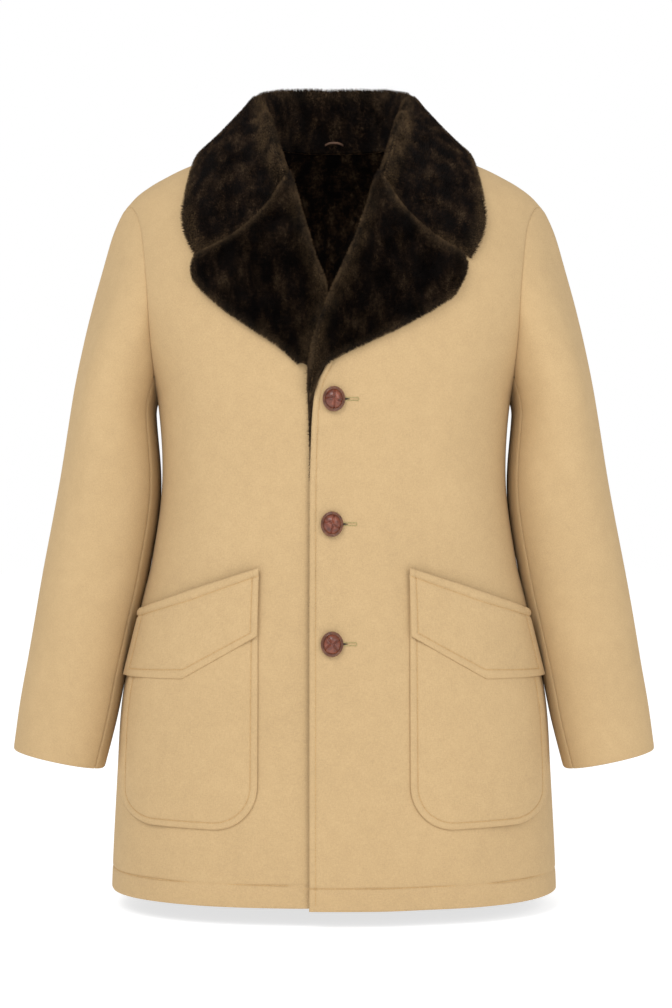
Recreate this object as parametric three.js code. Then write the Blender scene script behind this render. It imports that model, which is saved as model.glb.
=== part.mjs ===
// Single-breasted overcoat in camel wool, with a notched collar and wide lapels in dark
// clipped pile, filled out as worn and hollow. Millimetres, +Z up. The front faces -Y and
// +X is the side that laps over. The origin is inside the neck, level with the back neck seam.

import * as THREE from 'three';

// Cloth and seams
const clothThick = 2.4;
const pileThick = 8;
const seamHalf = 0.2;        // each edge of a seam stands back this far
const layGap = 0.4;          // between a panel and a piece that lies on it
const patchGap = 1;          // the same for the pockets, which bend round the side
const lapelGap = 1.4;
const armholeGap = 1.4;

// Main sizes
const hemZ = -866;
const armholeZ = -304;
const neckX = 80;            // neck point of the shoulder seam
const neckZ = -5;
const shoulderSlope = 0.49;  // drop for each millimetre out from the neck point
// How far the shoulder bows up above that slope
const shoulderBow = [
  { out: 80, rise: 0 }, { out: 125, rise: 7 }, { out: 170, rise: 13 }, { out: 203, rise: 13 },
  { out: 227, rise: 8 }, { out: 243, rise: 1.5 }, { out: 252, rise: 0 },
];
const sideY = 8;             // plane of the side and shoulder seams
const squareness = 2.4;      // of the body's rings, 2 is an ellipse
const backNeckRise = 27;     // how far the back rises towards the collar inside the neck
const roundDrop = { front: 165, back: 130 };   // height over which the shoulder rounds off
const lapLift = 5.4;         // the overlapping front stands this far off the other one
const lapLiftFrom = 110;
const lapLiftTo = 45;
const lapHemDrop = 2.5;      // the overlapping front hangs this much lower

// Rings of the body, below the armholes by height, above them by share of the way up
const lowerRings = [
  { z: hemZ, halfWidth: 257, front: 168, back: 162 },
  { z: -815, halfWidth: 255, front: 166, back: 160 },
  { z: -729, halfWidth: 250.5, front: 162, back: 156 },
  { z: -672, halfWidth: 247.5, front: 160, back: 153 },
  { z: -633, halfWidth: 243, front: 158, back: 150 },
  { z: -591, halfWidth: 234, front: 156, back: 147 },
  { z: -539, halfWidth: 223, front: 154, back: 144 },
  { z: -490, halfWidth: 211, front: 152, back: 141 },
  { z: -397, halfWidth: 199, front: 151, back: 139 },
];
const upperRings = [
  { rise: 0, halfWidth: 205, front: 151, back: 141 },
  { rise: 0.15, halfWidth: 224, front: 150, back: 142 },
  { rise: 0.3, halfWidth: 235, front: 148, back: 140 },
  { rise: 0.6, halfWidth: 242, front: 140, back: 132 },
  { rise: 1, halfWidth: 252, front: 124, back: 112 },
];
const bodyRings = [
  ...lowerRings.map(ring => ({ level: (ring.z - armholeZ) / (armholeZ - hemZ), ...ring })),
  ...upperRings.map(ring => ({ level: ring.rise, ...ring })),
];

// Armhole edge, as the angle round the ring from centre front or centre back
const armholeEdge = [
  { level: 0, front: 90, back: 90 },
  { level: 0.03, front: 82, back: 83 },
  { level: 0.08, front: 73, back: 76 },
  { level: 0.15, front: 67, back: 71 },
  { level: 0.3, front: 62, back: 67 },
  { level: 0.6, front: 64, back: 67 },
  { level: 0.8, front: 68, back: 70 },
  { level: 1, front: 74, back: 74 },
];

// Front edges from the hem to the neck point, hidden under the lapels from the break up
const frontEdges = {
  over: [
    { z: hemZ, x: -27 }, { z: -300, x: -27 }, { z: -262, x: -19 }, { z: -200, x: 3 },
    { z: -157, x: 20 }, { z: -115, x: 39 }, { z: -66, x: 60 }, { z: -20, x: 76 }, { z: neckZ, x: neckX },
  ],
  under: [
    { z: hemZ, x: 32 }, { z: -300, x: 32 }, { z: -262, x: 14 }, { z: -200, x: -9 },
    { z: -157, x: -26 }, { z: -115, x: -43 }, { z: -66, x: -60 }, { z: -20, x: -76 }, { z: neckZ, x: -neckX },
  ],
};

// Lapels: the roll line, the gorge against the collar, and the free edge from the tip down
const lapels = {
  left: {
    side: 1,
    roll: [[50, -64], [31, -116], [13, -158], [-4.4, -197], [-20, -240], [-26, -280]],
    gorge: [[50, -64], [63, -90], [76, -106], [90, -120], [112, -136], [148, -153]],
    edge: [
      [148, -153], [152, -165], [139, -190], [116, -207], [83, -223], [31, -246], [5, -260], [-13, -279],
    ],
  },
  right: {
    side: -1,
    roll: [[-50, -64], [-36, -106], [-21, -153], [-8, -192], [-22.5, -235], [-29.5, -274]],
    gorge: [[-50, -64], [-63, -90], [-76, -106], [-90, -120], [-112, -136], [-150, -154]],
    edge: [[-150, -154], [-155, -166], [-150, -179], [-116, -210], [-78, -236], [-58, -250], [-37, -271]],
  },
};
// Share of the way across, thickness of the pile there
const lapelSection = [
  { across: 0, pile: 3.5 }, { across: 0.05, pile: 8 }, { across: 0.15, pile: 10 },
  { across: 0.32, pile: 9.5 }, { across: 0.5, pile: 9 }, { across: 0.65, pile: 9 },
  { across: 0.86, pile: 9 }, { across: 0.95, pile: 7 }, { across: 1, pile: 2.5 },
];
const lapelEndShare = 0.45;  // of that thickness at the gorge and at the break

// Collar stations from centre back round to the gorge: foot of the stand, centre of the
// fold, free edge. Lean tips the top of the fold forwards.
const foldRadius = 9;
const collarClear = 5.2;     // under the collar's free edge
const collarBulge = 12;      // how far the fall stands up between the fold and its edge
const collarStations = [
  { foot: [0, 65, -8], fold: [0, 84, 61], lean: 0, face: 'back', edge: [0, -44] },
  { foot: [34, 59, -8], fold: [35, 79, 60], lean: 0, face: 'back', edge: [64, -46] },
  { foot: [55, 45, -8], fold: [60, 62, 57], lean: 0, face: 'back', edge: [120, -58] },
  { foot: [65, 26, -8], fold: [76, 36, 49], lean: 0, face: 'back', edge: [158, -66] },
  { foot: [69, 4, -10], fold: [80, 4, 36], lean: 0, face: 'ridge', edge: [164, 0] },
  { foot: [66, -32, -18], fold: [75, -40, 14], lean: 14, face: 'front', edge: [172, -84] },
  {
    foot: [61, -62, -36], fold: [69, -75, -18], lean: 30, face: 'front', edge: [168, -120], mid: [118, -86],
  },
  {
    foot: [55, -88, -56], fold: [62, -104, -49], lean: 48, face: 'front', edge: [151, -147], mid: [100, -119],
  },
];

// Two-piece sleeve below the armhole: outer and inner edge as seen from the front,
// half its depth and how far forward it hangs
const sleeveRows = [
  { outer: [304, -312], inner: [207.5, -324], halfDepth: 84, middleY: 4 },
  { outer: [317, -397], inner: [206, -414], halfDepth: 79, middleY: 2 },
  { outer: [333, -490], inner: [220, -509], halfDepth: 71, middleY: -4 },
  { outer: [343, -550], inner: [232.5, -569], halfDepth: 65, middleY: -9 },
  { outer: [352, -600], inner: [243.5, -619], halfDepth: 61, middleY: -14 },
  { outer: [361, -652], inner: [250, -672], halfDepth: 56, middleY: -18 },
  { outer: [368, -709], inner: [264, -729], halfDepth: 50, middleY: -22 },
];
const sleeveSquareness = 2.15;
const frontSeamAngle = 148;  // round the sleeve from its outer edge by way of the front
const backSeamAngle = 236;
const seamAngle = 0.17;      // each edge of a sleeve seam stands back this far
// Way the cloth leaves the armhole: outwards at the top and foot, and downwards there
const sleeveLeave = { topOut: 0.42, footOut: 0.2, ahead: 0.2, topDown: 0.9, footDown: 0.97 };

// Patch pocket and flap, seen from the front on the +X side
const pocket = {
  inner: [[83, -512], [83, -726], [91, -754], [107, -773], [128, -783]],
  outer: [[214, -554], [236, -640], [242, -746], [236, -768], [218, -779]],
};
const flap = {
  top: [[81, -495], [150, -519], [217, -545]],
  bottom: [[83, -570], [166, -619], [237, -621]],
};
const flapDowns = [0, 0.1, 0.14, 0.4, 0.7, 1];   // rows of the flap, of which two are the stitched ridge
const ridgeProud = 1.6;

// Buttons on the overlapping front, and the pile facing that peeps out beside its edge
const buttons = [
  { name: 'button_top', x: 0, z: -310 },
  { name: 'button_middle', x: -2, z: -447 },
  { name: 'button_bottom', x: -2, z: -578 },
];
// Radius and height along the section of a button, from the shank to the top of the dome
const buttonProfile = [
  [0, 0], [4, 0], [4, 1.5], [12, 1.8], [14, 3.4], [14, 5.2], [12.4, 6.2], [10.6, 7.8], [6.5, 9.5], [0, 10],
];
const facing = {
  thick: 2, innerX: 12,
  rows: [{ z: -450, x: -27.4 }, { z: -392, x: -28.5 }, { z: -330, x: -31 }, { z: -284, x: -33 }],
};
const neckLining = { halfWidth: 104, sideTop: -20, middleTop: -10, bottom: -250, thick: 4, standOff: 6 };
const loop = { halfWidth: 11, z: 3, height: 7, thick: 1.4, standOff: 3, standY: 66.9, standBend: 2 };

// Finishes
const camelWool = new THREE.MeshStandardMaterial({ color: '#cfb080', roughness: 0.93, metalness: 0 });
const darkPile = new THREE.MeshStandardMaterial({ color: '#241a13', roughness: 0.85, metalness: 0 });
const leather = new THREE.MeshStandardMaterial({ color: '#7a4438', roughness: 0.5, metalness: 0 });
const loopTape = new THREE.MeshStandardMaterial({ color: '#5c4026', roughness: 0.7, metalness: 0 });

const radians = THREE.MathUtils.degToRad;
const mix = THREE.MathUtils.lerp;
const ease = THREE.MathUtils.smoothstep;
const vec = (x, y, z) => new THREE.Vector3(x, y, z);

// Smooth value of each column of a table at a place along its key
function readTable(rows, key, at) {
  let i = 0;
  while (i < rows.length - 2 && at > rows[i + 1][key]) i++;
  const [a, b] = [rows[i], rows[i + 1]];
  const before = rows[i - 1] ?? a;
  const after = rows[i + 2] ?? b;
  const span = b[key] - a[key];
  const share = THREE.MathUtils.clamp((at - a[key]) / span, 0, 1);
  const value = {};
  for (const column of Object.keys(a)) {
    if (typeof a[column] !== 'number' || typeof b[column] !== 'number') continue;
    const slopeA = (b[column] - before[column]) / (b[key] - before[key]) * span;
    const slopeB = (after[column] - a[column]) / (after[key] - a[key]) * span;
    value[column] = hermite(a[column], b[column], slopeA, slopeB, share);
  }
  return value;
}

function hermite(a, b, slopeA, slopeB, s) {
  const [s2, s3] = [s * s, s * s * s];
  return a * (2 * s3 - 3 * s2 + 1) + b * (3 * s2 - 2 * s3)
    + slopeA * (s3 - 2 * s2 + s) + slopeB * (s3 - s2);
}

// Point at a share of the length of a smooth line through [x, z] pairs
function lineThrough(points) {
  const curve = new THREE.CatmullRomCurve3(points.map(([x, z]) => vec(x, 0, z)), false, 'centripetal');
  return share => {
    const point = curve.getPointAt(THREE.MathUtils.clamp(share, 0, 1));
    return [point.x, point.z];
  };
}

// Top of the shoulder above x
function ridgeZ(x, face) {
  const out = Math.abs(x);
  if (out > neckX) {
    return neckZ - shoulderSlope * (out - neckX) + readTable(shoulderBow, 'out', Math.min(out, 252)).rise;
  }
  return neckZ + (face === 'back' ? backNeckRise * (1 - (out / neckX) ** 2) : 0);
}

function lapOff(side, x, level) {
  if (side <= 0) return 0;
  return lapLift * (1 - ease(x, lapLiftTo, lapLiftFrom)) * (1 - ease(level, 0.4, 0.8));
}

// Point of the body's outer side at an angle round the ring and a level: -1 is the hem,
// 0 the foot of the armholes and 1 the shoulder seam
function bodyPoint(face, side, angle, level, lapSide = 0) {
  const ring = readTable(bodyRings, 'level', level);
  const turn = radians(angle);
  const x = side * ring.halfWidth * Math.sign(turn) * Math.abs(Math.sin(turn)) ** (2 / squareness);
  const ahead = Math.max(Math.cos(turn), 0) ** (2 / squareness);
  let z = armholeZ + level * (armholeZ - hemZ);
  let rounding = 1;
  if (level > 0) {
    const top = ridgeZ(x, face);
    const drop = (top - armholeZ) * (1 - Math.sin(level * Math.PI / 2));
    z = top - drop;
    rounding = drop < roundDrop[face] ? Math.sqrt(Math.max(0, 1 - (1 - drop / roundDrop[face]) ** 2)) : 1;
  } else if (lapSide > 0) {
    z += lapHemDrop * level * (1 - ease(angle, 40, 88));
  }
  const depth = (face === 'front' ? ring.front : ring.back) * ahead * rounding + seamHalf;
  const lift = face === 'front' ? lapOff(lapSide, x, level) : 0;
  return vec(x, face === 'front' ? sideY - depth - lift : sideY + depth, z);
}

// Level and angle of the place where the body's outer side passes x and z
function placeOf(face, x, z) {
  let level = (z - armholeZ) / (armholeZ - hemZ);
  if (z > armholeZ) {
    const top = ridgeZ(x, face);
    level = Math.asin(THREE.MathUtils.clamp((z - armholeZ) / (top - armholeZ), 0, 1)) / (Math.PI / 2);
  }
  const share = Math.min(Math.abs(x) / readTable(bodyRings, 'level', level).halfWidth, 1);
  return { level, angle: THREE.MathUtils.radToDeg(Math.asin(share ** (squareness / 2))) };
}

function bodyAt(face, x, z, lapSide = 0) {
  const { level, angle } = placeOf(face, x, z);
  const side = x < 0 ? -1 : 1;
  const point = bodyPoint(face, side, angle, level);
  const lift = face === 'front' ? lapOff(lapSide, x, level) : 0;
  return vec(x, point.y - lift, z);
}

// Place that lies a distance out from the body's outer side
function offBody(face, x, z, out, lapSide = 0) {
  const reach = 1.5;
  const across = bodyAt(face, x + reach, z, lapSide).sub(bodyAt(face, x - reach, z, lapSide));
  const up = bodyAt(face, x, z + reach, lapSide).sub(bodyAt(face, x, z - reach, lapSide));
  const normal = across.cross(up).normalize().multiplyScalar(face === 'front' ? 1 : -1);
  return bodyAt(face, x, z, lapSide).addScaledVector(normal, out);
}

// Normals of a grid of points, towards rows across columns
function gridNormals(grid) {
  const last = grid.length - 1;
  return grid.map((row, i) => row.map((_, j) => {
    const along = grid[i][Math.min(j + 1, row.length - 1)].clone().sub(grid[i][Math.max(j - 1, 0)]);
    const up = grid[Math.min(i + 1, last)][j].clone().sub(grid[Math.max(i - 1, 0)][j]);
    return along.cross(up).normalize();
  }));
}

function inside(grid, thick, sign, edgeNormal) {
  const normals = gridNormals(grid);
  return grid.map((row, i) => row.map((point, j) => {
    const normal = normals[i][j].multiplyScalar(sign);
    const chosen = edgeNormal ? edgeNormal(i, j, normal) : normal;
    return point.clone().addScaledVector(chosen, -thick);
  }));
}

// Closed wall between two grids of the same size, with rims round all four edges
function wallGeometry(outer, inner) {
  const [rows, columns] = [outer.length, outer[0].length];
  const positions = [...outer.flat(), ...inner.flat()].flatMap(point => point.toArray());
  const index = [];
  const far = (i, j) => i * columns + j;
  const near = (i, j) => rows * columns + far(i, j);
  const quad = (a, b, c, d) => index.push(a, b, c, a, c, d);
  for (let i = 0; i < rows - 1; i++) {
    for (let j = 0; j < columns - 1; j++) {
      quad(far(i, j), far(i, j + 1), far(i + 1, j + 1), far(i + 1, j));
      quad(near(i, j), near(i + 1, j), near(i + 1, j + 1), near(i, j + 1));
    }
    quad(far(i, 0), far(i + 1, 0), near(i + 1, 0), near(i, 0));
    quad(far(i, columns - 1), near(i, columns - 1), near(i + 1, columns - 1), far(i + 1, columns - 1));
  }
  for (let j = 0; j < columns - 1; j++) {
    quad(far(0, j), near(0, j), near(0, j + 1), far(0, j + 1));
    quad(far(rows - 1, j), far(rows - 1, j + 1), near(rows - 1, j + 1), near(rows - 1, j));
  }
  return facingOut(positions, index);
}

function facingOut(positions, index) {
  const corner = k => vec(...positions.slice(3 * k, 3 * k + 3));
  let volume = 0;
  for (let k = 0; k < index.length; k += 3) {
    volume += corner(index[k]).dot(corner(index[k + 1]).cross(corner(index[k + 2])));
  }
  const order = volume < 0 ? index.slice().reverse() : index;
  const geometry = new THREE.BufferGeometry();
  geometry.setAttribute('position', new THREE.Float32BufferAttribute(positions, 3));
  geometry.setIndex(order);
  geometry.computeVertexNormals();
  return geometry;
}

const overcoat = new THREE.Group();
function addPiece(name, geometry, material) {
  const mesh = new THREE.Mesh(geometry, material);
  mesh.name = name;
  overcoat.add(mesh);
  return mesh;
}

const spread = (count, from, to) => Array.from({ length: count + 1 }, (_, k) => mix(from, to, k / count));
// Angles that stand evenly apart across the flat of a ring
const evenPower = 1.2;
const spreadAngles = (count, from, to) => {
  const squeeze = (angle, power) => Math.sign(angle) * Math.abs(angle) ** power;
  return spread(count, squeeze(from, 1 / evenPower), squeeze(to, 1 / evenPower))
    .map(even => squeeze(even, evenPower));
};
const armholeLevels = [0.03, 0.07, 0.12, 0.18, 0.26, 0.36, 0.47, 0.58, 0.68, 0.78, 0.87, 0.94, 1];
const panelLevels = [...spread(12, -1, 0), ...armholeLevels];

const sideAngle = (face, level) => (level <= 0 ? 90 : readTable(armholeEdge, 'level', level)[face]);

// The seam edges of neighbours share one direction, so that their rims stay parallel
function seamNormal(x, level, normal, atSide) {
  if (atSide && level <= 0) return normal.setY(0).normalize();
  if (level < 1 || Math.abs(x) < neckX - 2) return normal;
  return vec(Math.sign(x) * shoulderSlope, 0, 1).normalize();
}

function frontPanel(side) {
  const edge = side > 0 ? frontEdges.over : frontEdges.under;
  const columns = 15;
  const grid = panelLevels.map(level => {
    let start = 0;
    let x = side * neckX;
    for (let pass = 0; pass < 8; pass++) {
      const z = level > 0
        ? mix(armholeZ, ridgeZ(x, 'front'), Math.sin(level * Math.PI / 2))
        : armholeZ + level * (armholeZ - hemZ);
      x = readTable(edge, 'z', z).x;
      start = placeOf('front', x, z).angle * Math.sign(x) * side;
    }
    return spreadAngles(columns, start, sideAngle('front', level))
      .map(angle => bodyPoint('front', side, angle, level, side));
  });
  return wallGeometry(grid, inside(grid, clothThick, side, (i, j, normal) =>
    seamNormal(grid[i][j].x, panelLevels[i], normal, j === columns)));
}

function backPanel() {
  const columns = 20;
  const grid = panelLevels.map(level => {
    const limit = sideAngle('back', level);
    return spreadAngles(columns, -limit, limit).map(angle => {
      const atSeam = bodyPoint('back', 1, angle, 1);
      const neckDrop = backNeckRise * Math.max(0, 1 - (atSeam.x / neckX) ** 2);
      const height = ridgeZ(atSeam.x, 'back') - armholeZ;
      const highest = Math.asin(1 - neckDrop / height) / (Math.PI / 2);
      return bodyPoint('back', 1, angle, level > 0 ? level * highest : level);
    });
  });
  return wallGeometry(grid, inside(grid, clothThick, -1, (i, j, normal) =>
    seamNormal(grid[i][j].x, panelLevels[i], normal, j === 0 || j === columns)));
}

addPiece('front_left', frontPanel(1), camelWool);
addPiece('front_right', frontPanel(-1), camelWool);
addPiece('back', backPanel(), camelWool);

// Armhole round from the shoulder point by way of the front, by share of its length
const armholeSteps = [0, ...armholeLevels].reverse();
const frontHalf = armholeSteps.map(level => bodyPoint('front', 1, sideAngle('front', level), level));
const backHalf = armholeSteps.map(level => bodyPoint('back', 1, sideAngle('back', level), level)).reverse();

function alongPoints(points, share) {
  const lengths = [0];
  for (let k = 1; k < points.length; k++) lengths.push(lengths[k - 1] + points[k].distanceTo(points[k - 1]));
  const target = share * lengths.at(-1);
  let k = 1;
  while (k < points.length - 1 && lengths[k] < target) k++;
  const part = (target - lengths[k - 1]) / (lengths[k] - lengths[k - 1]);
  return points[k - 1].clone().lerp(points[k], part);
}

function armholePoint(angle) {
  const turn = THREE.MathUtils.euclideanModulo(angle, 360);
  const point = turn <= 180 ? alongPoints(frontHalf, turn / 180) : alongPoints(backHalf, (turn - 180) / 180);
  point.x += armholeGap;
  return point;
}

function sleeveRing(angle, place) {
  const table = sleeveRows.map((row, k) => ({
    k, outerX: row.outer[0], outerZ: row.outer[1], innerX: row.inner[0], innerZ: row.inner[1],
    halfDepth: row.halfDepth, middleY: row.middleY,
  }));
  const row = readTable(table, 'k', place);
  const turn = radians(angle);
  const power = 2 / sleeveSquareness;
  const across = Math.sign(Math.cos(turn)) * Math.abs(Math.cos(turn)) ** power;
  const ahead = Math.sign(Math.sin(turn)) * Math.abs(Math.sin(turn)) ** power;
  return vec(
    mix(row.innerX, row.outerX, (1 + across) / 2),
    row.middleY - row.halfDepth * ahead,
    mix(row.innerZ, row.outerZ, (1 + across) / 2),
  );
}

// Sleeve head from the armhole to the first row, then the sleeve down to the cuff
function sleevePoint(angle, place) {
  if (place >= 0) return sleeveRing(angle, place);
  const start = armholePoint(angle);
  const end = sleeveRing(angle, 0);
  const reach = start.distanceTo(end);
  const topness = (1 + Math.cos(radians(angle))) / 2;
  const leave = vec(
    mix(sleeveLeave.footOut, sleeveLeave.topOut, topness),
    -sleeveLeave.ahead * Math.sin(radians(angle)),
    -mix(sleeveLeave.footDown, sleeveLeave.topDown, topness),
  ).normalize().multiplyScalar(reach);
  const arrive = sleeveRing(angle, 0.1).sub(end).normalize().multiplyScalar(reach);
  const s = 1 + place;
  return vec(
    hermite(start.x, end.x, leave.x, arrive.x, s),
    hermite(start.y, end.y, leave.y, arrive.y, s),
    hermite(start.z, end.z, leave.z, arrive.z, s),
  );
}

function sleeveNormal(angle, place) {
  const [turn, step] = [1, 0.02];
  const [low, high] = [Math.max(place - step, -1), Math.min(place + step, sleeveRows.length - 1)];
  const round = sleevePoint(angle + turn, place).sub(sleevePoint(angle - turn, place));
  const down = sleevePoint(angle, high).sub(sleevePoint(angle, low));
  return round.cross(down).normalize();
}

const sleevePlaces = [...spread(8, -1, 0), ...spread(12, 0, sleeveRows.length - 1).slice(1)];

function sleevePanel(angles) {
  const grid = sleevePlaces.map(place => angles.map(angle => sleevePoint(angle, place)));
  return wallGeometry(grid, inside(grid, clothThick, 1, (i, j) => {
    const normal = sleeveNormal(angles[j], sleevePlaces[i]);
    if (i > 0) return normal;
    const turn = THREE.MathUtils.euclideanModulo(angles[j], 360);
    const face = turn <= 180 ? 'front' : 'back';
    const point = grid[i][j];
    const { level } = placeOf(face, point.x - armholeGap, point.z);
    const lower = placeOf(face, point.x - armholeGap, point.z).angle - 1;
    const a = bodyPoint(face, 1, lower, Math.max(level, 0.02));
    const b = bodyPoint(face, 1, lower + 1, Math.max(level, 0.02));
    const c = bodyPoint(face, 1, lower, Math.max(level - 0.02, 0));
    const cloth = b.sub(a).cross(a.clone().sub(c)).normalize().multiplyScalar(face === 'front' ? 1 : -1);
    const topness = (1 + Math.cos(radians(angles[j]))) / 2;
    if (topness > 0.92) cloth.copy(vec(shoulderSlope, 0, 1).normalize());
    return normal.lerp(cloth, ease(topness, 0.1, 0.35)).normalize();
  }));
}

const mirrored = geometry => {
  const { array } = geometry.attributes.position;
  const positions = Array.from(array, (value, k) => (k % 3 === 0 ? -value : value));
  return facingOut(positions, Array.from(geometry.index.array));
};

const topSleeve = sleevePanel([
  ...spread(7, backSeamAngle - 360 + seamAngle, 0), ...spread(9, 0, frontSeamAngle - seamAngle).slice(1),
]);
const underSleeve = sleevePanel(spread(6, frontSeamAngle + seamAngle, backSeamAngle - seamAngle));
addPiece('sleeve_top_left', topSleeve, camelWool);
addPiece('sleeve_under_left', underSleeve, camelWool);
addPiece('sleeve_top_right', mirrored(topSleeve), camelWool);
addPiece('sleeve_under_right', mirrored(underSleeve), camelWool);

// A lapel lies on its front, rows from the gorge down to the break
function lapelGeometry({ side, roll, gorge, edge }) {
  const [rollAt, gorgeAt, edgeAt] = [roll, gorge, edge].map(lineThrough);
  const rows = spread(12, 0, 1);
  const place = (down, across) => {
    const [startX, startZ] = rollAt(down);
    const [endX, endZ] = edgeAt(down);
    const [gorgeX, gorgeZ] = gorgeAt(across);
    const straight = [mix(startX, endX, across), mix(startZ, endZ, across)];
    const top = [mix(roll[0][0], edge[0][0], across), mix(roll[0][1], edge[0][1], across)];
    const bend = (1 - down) ** 3;
    return [straight[0] + (gorgeX - top[0]) * bend, straight[1] + (gorgeZ - top[1]) * bend];
  };
  const layer = out => rows.map((down, i) => lapelSection.map(({ across, pile }) => {
    const [x, z] = place(down, across);
    const endThin = i === 0 || i === rows.length - 1 ? lapelEndShare : 1;
    return offBody('front', x, z, lapelGap + out * pile * endThin, side);
  }));
  return wallGeometry(layer(1), layer(0));
}
addPiece('lapel_left', lapelGeometry(lapels.left), darkPile);
addPiece('lapel_right', lapelGeometry(lapels.right), darkPile);

// The collar's outer side at one station: up inside the neck, over the fold, down outside
function collarLine({ foot, fold, lean, face, edge, mid }, mirror) {
  const base = vec(...foot);
  const centre = vec(...fold);
  const lift = pileThick + collarClear;
  const end = face === 'ridge'
    ? vec(edge[0], sideY, ridgeZ(edge[0])).addScaledVector(vec(shoulderSlope, 0, 1).normalize(), lift)
    : offBody(face, edge[0], edge[1], lift);
  const out = vec(end.x - base.x, end.y - base.y, 0).normalize();
  const up = vec(0, -Math.sin(radians(lean)), Math.cos(radians(lean)));
  const shoulderSide = centre.clone().addScaledVector(out, foldRadius);
  const middle = mid
    ? offBody(face, mid[0], mid[1], pileThick + 2 * collarClear)
    : shoulderSide.clone().lerp(end, 0.5).addScaledVector(up, collarBulge);
  const points = [
    base, centre.clone().addScaledVector(out, -foldRadius), centre.clone().addScaledVector(up, foldRadius),
    shoulderSide, middle, end,
  ];
  const line = new THREE.CatmullRomCurve3(points, false, 'centripetal').getSpacedPoints(14);
  return line.map(point => vec(mirror * point.x, point.y, point.z));
}

function collarGeometry() {
  const lines = [
    ...collarStations.slice(1).reverse().map(station => collarLine(station, -1)),
    ...collarStations.map(station => collarLine(station, 1)),
  ];
  const rounds = lines[0].map((_, n) =>
    new THREE.CatmullRomCurve3(lines.map(line => line[n]), false, 'centripetal'));
  const outer = spread(28, 0, 1).map(share => rounds.map(round => round.getPoint(share)));
  return wallGeometry(outer, inside(outer, pileThick, -1));
}
addPiece('collar', collarGeometry(), darkPile);

// Patch pockets and flaps
function patchGrid(rowCount, columnCount, leftAt, rightAt, side, out) {
  return spread(rowCount, 0, 1).map(down => spread(columnCount, 0, 1).map(across => {
    const [startX, startZ] = leftAt(down);
    const [endX, endZ] = rightAt(down);
    return offBody('front', side * mix(startX, endX, across), mix(startZ, endZ, across), out, side);
  }));
}

for (const [name, side] of [['left', 1], ['right', -1]]) {
  const [innerAt, outerAt] = [lineThrough(pocket.inner), lineThrough(pocket.outer)];
  const pocketLayer = out => patchGrid(10, 12, innerAt, outerAt, side, patchGap + out);
  addPiece(`pocket_${name}`, wallGeometry(pocketLayer(clothThick), pocketLayer(0)), camelWool);

  const flapLay = 3 * patchGap + clothThick;
  const topAt = lineThrough(flap.top);
  const bottomAt = across => {
    const [inner, point, outer] = flap.bottom;
    const share = (point[0] - inner[0]) / (outer[0] - inner[0]);
    const [from, to] = across < share ? [inner, point] : [point, outer];
    const part = across < share ? across / share : (across - share) / (1 - share);
    return [mix(from[0], to[0], part), mix(from[1], to[1], part)];
  };
  const flapLayer = out => flapDowns.map((down, i) => spread(14, 0, 1).map(across => {
    const [topX, topZ] = topAt(across);
    const [endX, endZ] = bottomAt(across);
    const thick = clothThick + (i < 2 ? ridgeProud : 0);
    return offBody('front', side * mix(topX, endX, down), mix(topZ, endZ, down), flapLay + out * thick, side);
  }));
  addPiece(`flap_${name}`, wallGeometry(flapLayer(1), flapLayer(0)), camelWool);
}

// Pile facing along the overlapping front's edge, between the two fronts
const facingLayer = out => spread(8, 0, 1).map(down => {
  const z = mix(facing.rows.at(-1).z, facing.rows[0].z, down);
  const edgeX = readTable(facing.rows, 'z', z).x;
  return spread(4, edgeX, facing.innerX).map(x => offBody('front', x, z, layGap + out));
});
addPiece('facing_left', wallGeometry(facingLayer(facing.thick), facingLayer(0)), darkPile);

// Pile lining that shows inside the back of the neck, highest where it meets the collar's stand
const liningTop = x => mix(neckLining.middleTop, neckLining.sideTop, ease(Math.abs(x), 50, 70));
const liningLayer = depth => spread(10, 0, 1).map(down =>
  spread(16, -neckLining.halfWidth, neckLining.halfWidth).map(x =>
    offBody('back', x, mix(liningTop(x), neckLining.bottom, down), -depth)));
const liningDepth = clothThick + neckLining.standOff;
addPiece('neck_lining', wallGeometry(
  liningLayer(liningDepth), liningLayer(liningDepth + neckLining.thick),
), darkPile);

// Domed leather buttons, turned about the line out of the cloth
for (const { name, x, z } of buttons) {
  const profile = buttonProfile.map(([radius, height]) => new THREE.Vector2(radius, height));
  const mesh = addPiece(name, new THREE.LatheGeometry(profile, 16), leather);
  mesh.position.copy(offBody('front', x, z, layGap, 1));
  mesh.rotation.x = Math.PI;
}

// Hanging loop of tape, bowed off the stand inside the back of the neck
const loopLayer = (from, thick) => spread(2, -0.5, 0.5).map(up => spread(6, -1, 1).map(across => {
  const bow = loop.standOff * (1 - across ** 4);
  const standY = loop.standY - loop.standBend * Math.abs(across);
  return vec(across * loop.halfWidth, standY - layGap - from - bow - thick, loop.z + up * loop.height);
}));
addPiece('hanger_loop', wallGeometry(loopLayer(0, loop.thick), loopLayer(0, 0)), loopTape);

export default overcoat;
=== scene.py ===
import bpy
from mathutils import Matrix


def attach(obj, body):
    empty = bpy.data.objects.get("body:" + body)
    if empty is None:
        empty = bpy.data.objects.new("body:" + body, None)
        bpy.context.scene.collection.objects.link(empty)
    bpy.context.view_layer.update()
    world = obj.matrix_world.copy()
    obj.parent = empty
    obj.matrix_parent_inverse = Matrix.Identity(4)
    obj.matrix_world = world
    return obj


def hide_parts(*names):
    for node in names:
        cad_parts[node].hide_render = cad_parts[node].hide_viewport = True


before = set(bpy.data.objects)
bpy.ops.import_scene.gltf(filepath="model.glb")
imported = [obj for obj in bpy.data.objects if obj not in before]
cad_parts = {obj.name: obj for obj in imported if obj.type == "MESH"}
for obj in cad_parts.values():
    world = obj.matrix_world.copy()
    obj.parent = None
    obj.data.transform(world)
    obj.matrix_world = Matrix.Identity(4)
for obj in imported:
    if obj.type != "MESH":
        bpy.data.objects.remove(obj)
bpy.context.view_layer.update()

import math

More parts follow.
